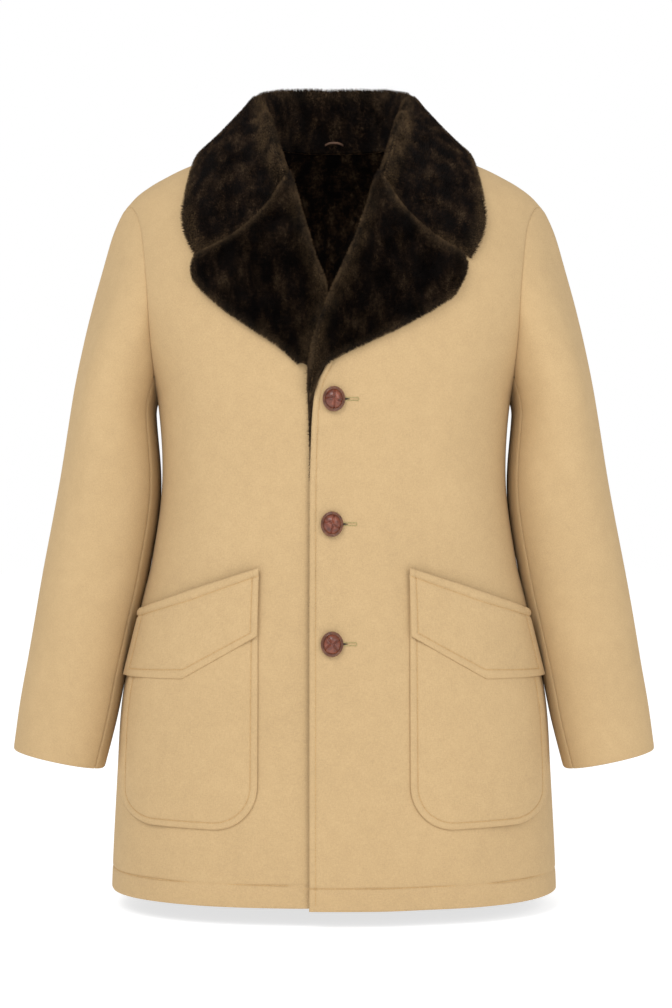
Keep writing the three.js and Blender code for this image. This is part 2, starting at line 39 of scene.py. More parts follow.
import bmesh
import bpy
from mathutils import Matrix, Vector

# A single-breasted overcoat in camel melton wool, with collar and lapels in dark clipped pile.
# Sizes are in millimetres until a mesh is made. The front faces -Y, +X laps over.

mm = 0.001
squareness = 2.4

coat = {
    "hemZ": -866, "armholeZ": -304, "neckX": 80, "neckZ": -5, "shoulderSlope": 0.49, "sideY": 8,
    "seamHalf": 0.15, "backNeckRise": 27, "roundDrop": {"front": 165, "back": 130},
    "lapLift": 5.4, "lapLiftFrom": 110, "lapLiftTo": 45, "lapHemDrop": 2.5, "cloth": 2.4,
    "hemStitch": 25, "edgeStitch": 7,
}

# Rings up the body: height below the armholes, or share of the rise above them, and half sizes
ringNames = ("level", "halfWidth", "front", "back")
lowerRings = [
    (-866, 257, 168, 162), (-815, 255, 166, 160), (-729, 250.5, 162, 156), (-672, 247.5, 160, 153),
    (-633, 243, 158, 150), (-591, 234, 156, 147), (-539, 223, 154, 144), (-490, 211, 152, 141),
    (-397, 199, 151, 139),
]
upperRings = [
    (0, 205, 151, 141), (0.15, 224, 150, 142), (0.3, 235, 148, 140), (0.6, 242, 140, 132),
    (1, 252, 124, 112),
]
# The armhole's edge, as an angle round the body at each level
armholeEdge = [
    (0, 90, 90), (0.03, 82, 83), (0.08, 73, 76), (0.15, 67, 71), (0.3, 62, 67), (0.6, 64, 67),
    (0.8, 68, 70), (1, 74, 74),
]


def mix(a, b, share):
    return a + (b - a) * share


def clamp(value, low=0.0, high=1.0):
    return max(low, min(high, value))


def ease(value, low, high):
    s = clamp((value - low) / (high - low))
    return s * s * (3 - 2 * s)


def hermite(a, b, slopeA, slopeB, s):
    s2, s3 = s * s, s * s * s
    return (a * (2 * s3 - 3 * s2 + 1) + b * (3 * s2 - 2 * s3)
            + slopeA * (s3 - 2 * s2 + s) + slopeB * (s3 - s2))


# The first name is the one that the table is read by
def makeTable(names, rows):
    columns = dict(zip(names, zip(*rows)))
    return columns.pop(names[0]), columns


def readTable(table, name, at):
    keys, columns = table
    values = columns[name]
    last = len(keys) - 1
    i = 0
    while i < last - 1 and at > keys[i + 1]:
        i += 1
    span = keys[i + 1] - keys[i]
    before, after = max(i - 1, 0), min(i + 2, last)
    slopeA = (values[i + 1] - values[before]) / (keys[i + 1] - keys[before]) * span
    slopeB = (values[after] - values[i]) / (keys[after] - keys[i]) * span
    return hermite(values[i], values[i + 1], slopeA, slopeB, clamp((at - keys[i]) / span))


bodyHeight = coat["armholeZ"] - coat["hemZ"]
bodyTable = makeTable(
    ringNames, [((z - coat["armholeZ"]) / bodyHeight, *sizes) for z, *sizes in lowerRings] + upperRings)
armholeTable = makeTable(("level", "front", "back"), armholeEdge)
# How far the shoulder bows up above its even slope
shoulderTable = makeTable(
    ("out", "rise"), [(80, 0), (125, 8), (170, 15), (203, 14.5), (227, 8), (243, 2), (252, 0)])


def ridgeZ(x, face):
    out = abs(x)
    if out > coat["neckX"]:
        bow = readTable(shoulderTable, "rise", min(out, 252))
        return coat["neckZ"] - coat["shoulderSlope"] * (out - coat["neckX"]) + bow
    rise = coat["backNeckRise"] * (1 - (out / coat["neckX"]) ** 2) if face == "back" else 0
    return coat["neckZ"] + rise


def lapOff(lapSide, x, level):
    if lapSide <= 0:
        return 0
    inward = 1 - ease(x, coat["lapLiftTo"], coat["lapLiftFrom"])
    return coat["lapLift"] * inward * (1 - ease(level, 0.4, 0.8))


def bodyPoint(face, side, angle, level, lapSide=0):
    turn = math.radians(angle)
    reach = math.copysign(abs(math.sin(turn)) ** (2 / squareness), turn)
    x = side * readTable(bodyTable, "halfWidth", level) * reach
    ahead = max(math.cos(turn), 0) ** (2 / squareness)
    z = coat["armholeZ"] + level * bodyHeight
    rounding = 1
    if level > 0:
        top = ridgeZ(x, face)
        drop = (top - coat["armholeZ"]) * (1 - math.sin(min(level, 1) * math.pi / 2))
        z = top - drop
        share = drop / coat["roundDrop"][face]
        rounding = math.sqrt(max(0, 1 - (1 - share) ** 2)) if share < 1 else 1
    elif lapSide > 0:
        z += coat["lapHemDrop"] * level * (1 - ease(angle, 40, 88))
    depth = readTable(bodyTable, face, level) * ahead * rounding + coat["seamHalf"]
    if face == "front":
        return Vector((x, coat["sideY"] - depth - lapOff(lapSide, x, level), z))
    return Vector((x, coat["sideY"] + depth, z))


def placeOf(face, x, z):
    level = (z - coat["armholeZ"]) / bodyHeight
    if z > coat["armholeZ"]:
        share = (z - coat["armholeZ"]) / (ridgeZ(x, face) - coat["armholeZ"])
        level = math.asin(clamp(share)) / (math.pi / 2)
    share = min(abs(x) / readTable(bodyTable, "halfWidth", level), 1)
    return level, math.degrees(math.asin(share ** (squareness / 2)))


def bodyAt(face, x, z, lapSide=0):
    level, angle = placeOf(face, x, z)
    y = bodyPoint(face, 1 if x >= 0 else -1, angle, level).y
    if face == "front":
        y -= lapOff(lapSide, x, level)
    return Vector((x, y, z))


def offBody(face, x, z, out, lapSide=0):
    reach = 1.5
    across = bodyAt(face, x + reach, z, lapSide) - bodyAt(face, x - reach, z, lapSide)
    up = bodyAt(face, x, z + reach, lapSide) - bodyAt(face, x, z - reach, lapSide)
    normal = across.cross(up).normalized() * (1 if face == "front" else -1)
    return bodyAt(face, x, z, lapSide) + normal * out


# Stops along an edge in millimetres: close ones first, then even steps to the far end
def stopsAlong(total, fine, step, fineEnd=()):
    first = [stop for stop in fine if stop < total / 2]
    last = [total - stop for stop in fineEnd]
    start, end = first[-1], (last[-1] if last else total)
    count = max(2, round((end - start) / step))
    middle = [mix(start, end, k / count) for k in range(1, count)]
    return [stop / total for stop in first + middle + (sorted(last) if last else [total])]


def edgeRound(distance, reach=4.0, depth=1.6):
    return depth * (1 - clamp(distance / reach)) ** 2


def groove(distance, at, width=1.5, depth=0.8):
    return depth * math.exp(-(((distance - at) / width) ** 2))


# Soft troughs or ridges along lines, deepest in the middle and fading past both ends. Each is
# given by its start, its end, its width and its depth.
def creaseDepth(u, v, creases):
    total, past = 0, 0.3
    for u0, v0, u1, v1, width, depth in creases:
        du, dv = u1 - u0, v1 - v0
        s = clamp(((u - u0) * du + (v - v0) * dv) / (du * du + dv * dv), -past, 1 + past)
        away2 = (u - u0 - s * du) ** 2 + (v - v0 - s * dv) ** 2
        if away2 <= (3 * width) ** 2:
            fade = math.sin(math.pi * (s + past) / (1 + 2 * past)) ** 2
            total += depth * fade * math.exp(-away2 / width ** 2)
    return total


def hexColour(code):
    parts = [int(code[i:i + 2], 16) / 255 for i in (1, 3, 5)]
    linear = [c / 12.92 if c <= 0.04045 else ((c + 0.055) / 1.055) ** 2.4 for c in parts]
    return (*linear, 1.0)


# A value is set and a socket is linked; a node stands for its first output
def setInputs(tree, node, inputs):
    for name, value in inputs.items():
        source = value.outputs[0] if isinstance(value, bpy.types.Node) else value
        if isinstance(source, bpy.types.NodeSocket):
            tree.links.new(source, node.inputs[name])
        else:
            node.inputs[name].default_value = source


def addNode(tree, kind, settings=None, inputs=None, stops=()):
    node = tree.nodes.new(kind)
    for name, value in (settings or {}).items():
        setattr(node, name, value)
    setInputs(tree, node, inputs or {})
    for k, (place, code) in enumerate(stops):
        elements = node.color_ramp.elements
        element = elements[k] if k < 2 else elements.new(place)
        element.position, element.color = place, hexColour(code)
    return node


def startMaterial(name):
    material = bpy.data.materials.new(name)
    material.use_nodes = True
    tree = material.node_tree
    tree.nodes.clear()
    shader = addNode(tree, "ShaderNodeBsdfPrincipled")
    addNode(tree, "ShaderNodeOutputMaterial", inputs={"Surface": shader.outputs["BSDF"]})
    return material, tree, shader


def plainMaterial(name, inputs):
    material, tree, shader = startMaterial(name)
    setInputs(tree, shader, inputs)
    return material


# Weighted sum of noises, each given by its coordinates, size in millimetres, detail, roughness,
# stretch and weight
def noiseSum(tree, layers):
    coords, total = addNode(tree, "ShaderNodeTexCoord"), 0.0
    for space, sizeMm, detail, roughness, stretch, weight in layers:
        place = addNode(tree, "ShaderNodeMapping", inputs={"Vector": coords.outputs[space], "Scale": stretch})
        noise = addNode(tree, "ShaderNodeTexNoise", inputs={
            "Vector": place, "Scale": 1000 / sizeMm, "Detail": detail, "Roughness": roughness})
        total = addNode(tree, "ShaderNodeMath", {"operation": "MULTIPLY_ADD"}, {
            0: noise, 1: weight, 2: total})
    return total


# Camel melton wool, milled and raised: a matt felted nap in which the weave only just shows
def meltonWool():
    even, weft, warp = (1, 1, 1), (0.3, 1, 1), (1, 0.22, 1)
    material, tree, shader = startMaterial("meltonWool")
    tone = noiseSum(tree, [
        ("Object", 90, 2, 0.5, even, 0.12), ("Object", 14, 3, 0.5, even, 0.14),
        ("Object", 1.5, 4, 0.65, even, 0.38), ("UV", 1.3, 2, 0.5, weft, 0.18),
        ("UV", 1.3, 2, 0.5, warp, 0.18)])
    height = noiseSum(tree, [
        ("Object", 1.5, 4, 0.65, even, 0.6), ("Object", 0.8, 2, 0.7, even, 0.4),
        ("UV", 1.3, 2, 0.5, weft, 0.3), ("UV", 1.3, 2, 0.5, warp, 0.3)])
    colour = addNode(tree, "ShaderNodeValToRGB", inputs={"Fac": tone}, stops=[
        (0.3, "#aa906b"), (0.5, "#ba9e75"), (0.7, "#c7ab81")])
    bump = addNode(tree, "ShaderNodeBump", inputs={"Strength": 0.4, "Distance": 0.6 * mm, "Height": height})
    setInputs(tree, shader, {
        "Base Color": colour, "Normal": bump, "Roughness": 0.92, "Specular IOR Level": 0.15,
        "Sheen Weight": 0.12, "Sheen Roughness": 0.6, "Sheen Tint": hexColour("#efdcb8"),
    })
    return material


# Sheared pile, dyed nearly black and tipped with olive brown: velvet dark seen straight on, with a painted
# highlight that lightens it at the rolls and edges, and lighter in soft clouds, partly its own uneven tone
# and partly painted sheen where it has been brushed different ways
def mouton(name, strands):
    fleece = {"worn": "#6e583e", "root": "#060403", "ownNormal": 0.8}
    material, tree, shader = startMaterial(name)
    tone = noiseSum(tree, [
        ("Object", 15, 3, 0.62, (1, 1, 0.45), 0.72), ("Object", 4, 2, 0.5, (1, 1, 1), 0.28)])
    # The rolls and edges are marked on the mesh and mixed towards olive brown there: a painted highlight
    # where the pile would catch the light edge-on
    rimHighlight = addNode(tree, "ShaderNodeAttribute", {"attribute_name": "rimHighlight"}).outputs["Fac"]
    spread = addNode(tree, "ShaderNodeMath", {"operation": "MULTIPLY_ADD"}, {0: tone, 1: 3.0, 2: -0.95})
    worn = addNode(tree, "ShaderNodeMath", {"operation": "MULTIPLY"}, {0: rimHighlight, 1: spread})
    colour = addNode(tree, "ShaderNodeValToRGB", inputs={"Fac": tone}, stops=[
        (0.4, "#0f0805"), (0.48, "#1c110a"), (0.56, "#3b2a1b"), (0.68, "#63503a")])
    colour = addNode(tree, "ShaderNodeMix", {"data_type": "RGBA"}, {
        0: worn, 6: colour, 7: hexColour(fleece["worn"])}).outputs[2]
    sheen = addNode(tree, "ShaderNodeValToRGB", inputs={"Fac": tone}, stops=[
        (0.4, "#7a5a3c"), (0.6, "#b08e66")])
    if strands:
        # Each blade is mixed from near black at its root to the pile's colour at its tip: partly the tipped
        # dye and partly painted shade deep in the pile
        tip = addNode(tree, "ShaderNodeAttribute", {"attribute_name": "tip"}).outputs["Fac"]
        colour = addNode(tree, "ShaderNodeMix", {"data_type": "RGBA"}, {
            0: tip, 6: hexColour(fleece["root"]), 7: colour}).outputs[2]
        skin = addNode(tree, "ShaderNodeAttribute", {"attribute_name": "skinNormal"}).outputs["Vector"]
        own = addNode(tree, "ShaderNodeNewGeometry").outputs["Normal"]
        both = addNode(tree, "ShaderNodeVectorMath", {"operation": "MULTIPLY_ADD"}, {
            0: own, 1: (fleece["ownNormal"],) * 3, 2: skin})
        unit = addNode(tree, "ShaderNodeVectorMath", {"operation": "NORMALIZE"}, {0: both})
        setInputs(tree, shader, {"Normal": unit})
    setInputs(tree, shader, {
        "Base Color": colour, "Sheen Tint": sheen, "Roughness": 0.62, "Specular IOR Level": 0.08,
        "Sheen Weight": 0.9, "Sheen Roughness": 0.22,
    })
    return material


# Twilled rayon lining: dark, a little shiny
def twillLining():
    material, tree, shader = startMaterial("twillLining")
    coords = addNode(tree, "ShaderNodeTexCoord")
    wave = addNode(tree, "ShaderNodeTexWave", {"bands_direction": "DIAGONAL"}, {
        "Vector": coords.outputs["UV"], "Scale": 1000 / (1.2 * 6.28), "Distortion": 1.0}).outputs["Fac"]
    colour = addNode(tree, "ShaderNodeValToRGB", inputs={"Fac": wave}, stops=[(0, "#20160f"), (1, "#33241a")])
    bump = addNode(tree, "ShaderNodeBump", inputs={"Strength": 0.2, "Distance": 0.3 * mm, "Height": wave})
    setInputs(tree, shader, {"Base Color": colour, "Normal": bump, "Roughness": 0.45})
    return material


# Vegetable-tanned leather strips, woven over a mould: waxed high spots and dark creases
def wovenLeather(name, dark, middle, light):
    material, tree, shader = startMaterial(name)
    coords = addNode(tree, "ShaderNodeTexCoord")
    grain = addNode(tree, "ShaderNodeTexVoronoi", inputs={
        "Vector": coords.outputs["Object"], "Scale": 1000 / 0.9}).outputs["Distance"]
    wear = noiseSum(tree, [("Object", 5, 3, 0.5, (1, 1, 1), 1)])
    colour = addNode(tree, "ShaderNodeValToRGB", inputs={"Fac": wear}, stops=[
        (0.3, dark), (0.5, middle), (0.72, light)])
    bump = addNode(tree, "ShaderNodeBump", inputs={"Strength": 0.25, "Distance": 0.2 * mm, "Height": grain})
    setInputs(tree, shader, {"Base Color": colour, "Normal": bump, "Roughness": 0.4, "Coat Weight": 0.2})
    return material


# Spun thread or narrow tape, with its twist as fine stripes
def spunThread(name, dark, light):
    material, tree, shader = startMaterial(name)
    twist = noiseSum(tree, [("Object", 0.8, 2, 0.5, (1, 1, 1), 1)])
    colour = addNode(tree, "ShaderNodeValToRGB", inputs={"Fac": twist}, stops=[(0.3, dark), (0.7, light)])
    bump = addNode(tree, "ShaderNodeBump", inputs={"Strength": 0.4, "Distance": 0.3 * mm, "Height": twist})
    setInputs(tree, shader, {"Base Color": colour, "Normal": bump, "Roughness": 0.75})
    return material


wool, lining = meltonWool(), twillLining()
pileCloth, pileStrands = mouton("moutonBacking", False), mouton("moutonPile", True)
leather = wovenLeather("wovenLeather", "#512417", "#6c3523", "#84452f")
rimLeather = wovenLeather("rimLeather", "#4c2a18", "#613823", "#75482e")
camelThread = spunThread("camelThread", "#a9854f", "#d0ad78")
oliveThread = spunThread("oliveThread", "#8f804c", "#b8a976")
brownTape = spunThread("brownTape", "#37241a", "#70503a")
# Flat near-black for the painted shade inside the buttonhole slits
slitShade = plainMaterial("slitShade", {"Base Color": hexColour("#1c1008")})
print("materials ready")


def addObject(name, data):
    piece = bpy.data.objects.new(name, data)
    bpy.context.scene.collection.objects.link(piece)
    return piece


def addMesh(name, bm, materials, smooth=True):
    mesh = bpy.data.meshes.new(name)
    for face in bm.faces:
        face.smooth = smooth
    bm.to_mesh(mesh)
    bm.free()
    for material in materials:
        mesh.materials.append(material)
    return addObject(name, mesh)


# A grid whose points are set by place(across, up), in millimetres, with its cut size as the UV map, and with
# each point's share of the pile's painted highlight if a function for it is given
def clothGrid(acrossStops, upStops, place, cutSize, outward=None, rimHighlight=None):
    bm = bmesh.new()
    columns, rows = len(acrossStops) - 1, len(upStops) - 1
    rimHighlights = bm.verts.layers.float.new("rimHighlight") if rimHighlight else None
    bmesh.ops.create_grid(bm, x_segments=columns, y_segments=rows, size=0.5)
    uvs = bm.loops.layers.uv.new("UVMap")
    for vert in bm.verts:
        across = acrossStops[round((vert.co.x + 0.5) * columns)]
        up = upStops[round((vert.co.y + 0.5) * rows)]
        for loop in vert.link_loops:
            loop[uvs].uv = (across * cutSize[0] * mm, up * cutSize[1] * mm)
        vert.co = place(across, up) * mm
        if rimHighlight:
            vert[rimHighlights] = rimHighlight(across, up)
    if outward:
        bm.normal_update()
        if sum(face.normal.dot(outward(face.calc_center_median())) for face in bm.faces) < 0:
            bmesh.ops.reverse_faces(bm, faces=bm.faces[:])
    return bm


def finishShell(piece, thick=None):
    shell = piece.modifiers.new("cloth", "SOLIDIFY")
    shell.thickness = (thick or coat["cloth"]) * mm
    shell.offset = -1
    shell.use_even_offset = False
    shell.material_offset = 1 if len(piece.data.materials) > 1 else 0
    shell.material_offset_rim = 0


def declare(piece, nodes=()):
    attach(piece, "root")
    if nodes:
        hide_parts(*nodes)


def addCloth(node, bm, inside=lining):
    piece = addMesh(node + "_cloth", bm, [wool, inside])
    finishShell(piece)
    declare(piece, [node])


def evenStops(count):
    return [k / count for k in range(count + 1)]


def bodyOut(centre):
    return Vector((centre.x, centre.y - coat["sideY"] * mm, 0.0001))


def forwardOut(centre):
    return Vector((0, -1, 0))


# Front and back panels
panels = {
    "columnStep": 3.4, "rowStep": 5.6, "edgeFine": [0, 0.8, 1.8, 3, 4.4, 5.6, 6.6, 7.4, 8.4, 9.8, 12],
    "hemFine": [0, 0.8, 1.8, 3.2, 6, 11, 17, 21, 23, 24.2, 25, 25.8, 27, 29, 33],
    "sideFine": [0, 0.8, 1.8, 3.2, 5.5],
}
frontEdges = {
    1: [
        (-869, -27), (-420, -26.8), (-353, -25.2), (-316, -23), (-292, -18.5), (-273, -9), (-240, 3),
        (-200, 14), (-157, 26), (-115, 42), (-66, 61), (-20, 76), (-5, 80),
    ],
    -1: [
        (-869, 32), (-300, 32), (-262, 14), (-200, -9), (-157, -26), (-115, -43), (-66, -60), (-20, -76),
        (-5, -80),
    ],
}
edgeTables = {side: makeTable(("z", "x"), rows) for side, rows in frontEdges.items()}
frontCreases = {
    1: [
        (196, -66, 236, -84, 20, 2.6), (196, -250, 150, -400, 22, -2.2),
        (176, -300, 120, -470, 26, 1.6), (60, -640, 44, -850, 20, -1.4),
        (206, -640, 196, -860, 24, -2.2), (150, -790, 156, -866, 18, 2.0),
        (120, -210, 196, -160, 20, -1.2), (20, -330, 90, -300, 16, -0.9),
    ],
    -1: [
        (-196, -66, -236, -84, 20, 2.6), (-198, -240, -160, -390, 20, -2.0),
        (-180, -310, -132, -450, 24, 1.5), (-52, -600, -60, -850, 22, -1.5),
        (-208, -650, -200, -860, 22, -2.0), (-140, -795, -136, -866, 20, 1.8),
        (-118, -222, -190, -170, 18, -1.0), (-40, -400, -56, -560, 26, 1.2),
        (-23, -270, -24, -890, 9, -2.6),
    ],
}
backCreases = [
    (196, -66, 236, -84, 20, 3.9), (-196, -66, -236, -84, 20, 3.9),
    (-120, -150, -60, -330, 26, -3.6), (126, -160, 84, -350, 28, -3.9),
    (-40, -60, 44, -66, 14, -2.7), (-150, -420, -20, -470, 24, -3.0),
    (140, -430, 30, -490, 22, -2.7), (-90, -600, -104, -860, 34, 4.5),
    (70, -560, 92, -860, 38, 5.1), (-10, -620, 2, -860, 30, -3.9), (180, -620, 186, -860, 26, -3.3),
    (-184, -640, -178, -860, 24, -3.0),
]


def bodyNormal(face, side, angle, level, lapSide=0):
    low, high = max(level - 0.01, -1.02), min(level + 0.01, 1)
    right, left = [bodyPoint(face, side, angle + step, level, lapSide) for step in (0.6, -0.6)]
    above, below = [bodyPoint(face, side, angle, at, lapSide) for at in (high, low)]
    normal = (right - left).cross(above - below).normalized() * side
    return normal if face == "front" else -normal


def lengthsOf(points):
    lengths = [0]
    for a, b in zip(points, points[1:]):
        lengths.append(lengths[-1] + (b - a).length)
    return lengths


# Angles of a row that lie at given shares of its length
def anglesAlong(start, end, stops, pointAt):
    steps = 48
    angles = [mix(start, end, k / steps) for k in range(steps + 1)]
    lengths = lengthsOf([pointAt(angle) for angle in angles])
    found, k = [], 0
    for stop in stops:
        target = stop * lengths[-1]
        while k < steps - 1 and lengths[k + 1] < target:
            k += 1
        share = (target - lengths[k]) / max(lengths[k + 1] - lengths[k], 1e-9)
        found.append(mix(angles[k], angles[k + 1], clamp(share)))
    return found, lengths[-1]


# Levels run from -1 at the hem over 0 at the armhole's foot to 1 at the shoulder
hemStops = stopsAlong(2 * bodyHeight, panels["hemFine"], panels["rowStep"] * 1.25)
levelStops = [stop * 2 - 1 for stop in hemStops if stop * 2 - 1 < -0.004]
levelStops += [0, 0.012, 0.025, 0.04, 0.055, 0.07, 0.09, 0.11] + [0.135 + 0.0255 * k for k in range(34)]
levelStops = [level for level in levelStops if level < 0.985] + [0.99, 1.0]


def frontPanel(side):
    edgeTable = edgeTables[side]
    acrossStops = stopsAlong(270, panels["edgeFine"], panels["columnStep"], panels["sideFine"])
    rows = {}

    def rowAt(level):
        x = side * coat["neckX"]
        for settle in range(8):
            z = coat["armholeZ"] + level * bodyHeight
            if level > 0:
                z = mix(coat["armholeZ"], ridgeZ(x, "front"), math.sin(level * math.pi / 2))
            x = readTable(edgeTable, "x", z)
        start = placeOf("front", x, z)[1] * (1 if x * side >= 0 else -1)
        end = 90 if level <= 0 else readTable(armholeTable, "front", level)
        return anglesAlong(
            start, end, acrossStops, lambda angle: bodyPoint("front", side, angle, level, side))

    def place(across, level):
        if level not in rows:
            rows[level] = rowAt(level)
        angles, length = rows[level]
        angle = angles[acrossStops.index(across)]
        point = bodyPoint("front", side, angle, level, side)
        fromEdge, fromSide = across * length, (1 - across) * length
        fromHem = point.z - coat["hemZ"] + (coat["lapHemDrop"] if side > 0 else 0)
        dip = edgeRound(fromSide, 3.4, 1.1) + edgeRound(fromHem, 3, 1.2) + edgeRound(fromEdge, 3, 1.4)
        dip += groove(fromHem, coat["hemStitch"], 1.6, 1.0) if fromHem < 60 else 0
        if level < 0.1:
            dip += groove(fromEdge, coat["edgeStitch"], 1.3, 0.9)
        puff = creaseDepth(point.x, point.z, frontCreases[side])
        return point + bodyNormal("front", side, angle, level, side) * (puff - dip)

    return clothGrid(acrossStops, levelStops, place, (285, 861), bodyOut)


def backPanel():
    stops = stopsAlong(640, panels["sideFine"], 5.4, panels["sideFine"])
    rows = {}

    def rowAt(level):
        limit = 90 if level <= 0 else readTable(armholeTable, "back", level)
        return anglesAlong(-limit, limit, stops, lambda angle: bodyPoint("back", 1, angle, min(level, 0.98)))

    def place(across, level):
        if level not in rows:
            rows[level] = rowAt(level)
        angles, length = rows[level]
        angle = angles[stops.index(across)]
        x = bodyPoint("back", 1, angle, 1).x
        neckDrop = coat["backNeckRise"] * max(0, 1 - (x / coat["neckX"]) ** 2)
        highest = math.asin(1 - neckDrop / (ridgeZ(x, "back") - coat["armholeZ"])) / (math.pi / 2)
        own = level * highest if level > 0 else level
        point = bodyPoint("back", 1, angle, own)
        dip = edgeRound(min(across, 1 - across) * length) + edgeRound(point.z - coat["hemZ"], 3, 1.2)
        dip += groove(point.z - coat["hemZ"], coat["hemStitch"], 1.6, 1.0) if level < -0.8 else 0
        puff = creaseDepth(point.x, point.z, backCreases)
        return point + bodyNormal("back", 1, angle, own) * (puff - dip)

    return clothGrid(stops, levelStops, place, (640, 861), bodyOut)


for name, side in (("left", 1), ("right", -1)):
    addCloth("front_" + name, frontPanel(side))
addCloth("back", backPanel())
print("fronts and back")

# Two-piece sleeves. Places run from -1 at the armhole over 0 at its foot to 6 at the cuff.
sleeve = {
    "squareness": 2.15, "frontSeam": 148, "backSeam": 236, "armholeGap": -1.8, "steps": 96,
    "girthRadius": 62, "placeLength": 62, "capLength": 220, "length": 640, "creaseTurn": 60,
}
sleeveTable = makeTable(("place", "outerX", "outerZ", "innerX", "innerZ", "halfDepth", "middleY"), [
    (0, 304, -312, 206.5, -324, 84, 4),
    (1, 317, -397, 201, -414, 79, 2),
    (2, 333, -490, 215, -509, 71, -4),
    (3, 343, -550, 228.5, -569, 65, -9),
    (4, 352, -600, 239.5, -619, 61, -14),
    (5, 361, -652, 250, -672, 56, -18),
    (6, 368, -705.5, 264, -728, 50, -22),
])
# Creases by the angle round the sleeve and the place down it
sleeveCreases = {
    1: [
        (-36, -0.9, 36, -0.9, 0.16, 3.2), (20, -0.75, 48, 0.7, 0.30, -2.4),
        (-30, -0.7, -52, 0.9, 0.34, -2.6), (118, 0.4, 78, 1.5, 0.26, -3.0),
        (126, 1.4, 60, 2.2, 0.24, -2.4), (120, 2.5, 84, 3.2, 0.24, -1.6),
        (30, 1.4, 14, 3.8, 0.42, 2.0), (-70, 2.0, -30, 3.1, 0.32, -2.2),
        (70, 3.6, 56, 5.4, 0.36, -1.6),
    ],
    -1: [
        (-36, -0.9, 36, -0.9, 0.16, 3.2), (26, -0.8, 42, 0.5, 0.28, -2.0),
        (-26, -0.7, -48, 1.0, 0.32, -2.8), (116, 0.6, 88, 1.8, 0.28, -2.6),
        (124, 1.8, 72, 2.5, 0.22, -2.6), (34, 1.2, 22, 3.5, 0.40, 1.8),
        (-66, 1.8, -34, 3.0, 0.30, -2.4), (80, 3.9, 66, 5.2, 0.34, -1.4),
        (-100, 3.4, -60, 4.2, 0.30, -1.8),
    ],
}


armholeHalves = []
for face in ("front", "back"):
    levels = [1 - k / 80 for k in range(81)]
    points = [bodyPoint(face, 1, readTable(armholeTable, face, level), level) for level in levels]
    points = points if face == "front" else points[::-1]
    armholeHalves.append((points, lengthsOf(points)))


def alongPoints(points, lengths, share):
    target = share * lengths[-1]
    k = 1
    while k < len(points) - 1 and lengths[k] < target:
        k += 1
    return points[k - 1].lerp(points[k], clamp((target - lengths[k - 1]) / (lengths[k] - lengths[k - 1])))


def sleeveRing(angle, place):
    turn, power = math.radians(angle), 2 / sleeve["squareness"]
    across = math.copysign(abs(math.cos(turn)) ** power, math.cos(turn))
    ahead = math.copysign(abs(math.sin(turn)) ** power, math.sin(turn))
    value = {name: readTable(sleeveTable, name, place) for name in sleeveTable[1]}
    return Vector((
        mix(value["innerX"], value["outerX"], (1 + across) / 2),
        value["middleY"] - value["halfDepth"] * ahead,
        mix(value["innerZ"], value["outerZ"], (1 + across) / 2)))


def sleevePoint(angle, place):
    if place >= 0:
        return sleeveRing(angle, place)
    turn = angle % 360
    points, lengths = armholeHalves[0] if turn <= 180 else armholeHalves[1]
    start = alongPoints(points, lengths, (turn if turn <= 180 else turn - 180) / 180)
    start = start + Vector((sleeve["armholeGap"], 0, 0))
    end = sleeveRing(angle, 0)
    reach = (end - start).length
    topness = (1 + math.cos(math.radians(angle))) / 2
    leave = Vector((mix(0.2, 0.42, topness), -0.2 * math.sin(math.radians(angle)), -mix(0.97, 0.9, topness)))
    leave = leave.normalized() * reach
    arrive = (sleeveRing(angle, 0.1) - end).normalized() * reach
    return Vector([hermite(start[k], end[k], leave[k], arrive[k], 1 + place) for k in range(3)])


def sleevePanel(side, fromAngle, toAngle):
    span = toAngle - fromAngle
    ring = math.radians(span) * sleeve["girthRadius"]
    count = round(span / 360 * sleeve["steps"])
    fine = [0, 0.004, 0.01, 0.02] if span > 180 else [0, 0.01, 0.025, 0.05]
    across = fine + [mix(fine[-1], 1 - fine[-1], k / count) for k in range(1, count)]
    across += [1 - stop for stop in reversed(fine)]
    places = [-1, -0.995, -0.985, -0.97, -0.95] + [-0.92 + 0.035 * k for k in range(27)]
    places += [0.06 * k + 0.03 for k in range(99)] + [5.97, 5.985, 6]
    turn = sleeve["creaseTurn"]
    creases = [(u0 / turn, v0, u1 / turn, *rest) for u0, v0, u1, *rest in sleeveCreases[side]]

    def place(share, down):
        angle = mix(fromAngle, toAngle, share)
        point = sleevePoint(angle, down)
        low, high = max(down - 0.02, -1), min(down + 0.02, 6)
        around = sleevePoint(angle + 1, down) - sleevePoint(angle - 1, down)
        normal = around.cross(sleevePoint(angle, high) - sleevePoint(angle, low)).normalized()
        dip = edgeRound(min(share, 1 - share) * ring, 3.4, 1.3)
        dip += edgeRound((6 - down) * sleeve["placeLength"], 3.2, 1.2)
        dip += edgeRound((1 + down) * sleeve["capLength"], 4, 1.0)
        wrap = (angle + 180) % 360 - 180
        point = point + normal * (creaseDepth(wrap / turn, down, creases) - dip)
        return Vector((side * point.x, point.y, point.z))

    def fromAxis(centre):
        middle = mix(0.262, 0.316, clamp((-0.32 - centre.z) / 0.4))
        return centre - Vector((side * middle, -0.008, centre.z))

    return clothGrid(across, places, place, (ring, sleeve["length"]), fromAxis)


for name, side in (("left", 1), ("right", -1)):
    top = sleevePanel(side, sleeve["backSeam"] - 360, sleeve["frontSeam"])
    addCloth("sleeve_top_" + name, top)
    under = sleevePanel(side, sleeve["frontSeam"], sleeve["backSeam"])
    addCloth("sleeve_under_" + name, under)
print("sleeves")


# Smooth line through points, evenly spaced along its length
def smoothLine(points, count):
    lengths = lengthsOf(points)
    table = (lengths, {axis: [point[axis] for point in points] for axis in range(3)})
    fine = [Vector([readTable(table, axis, lengths[-1] * k / 200) for axis in range(3)]) for k in range(201)]
    return evenPoints(fine, count)


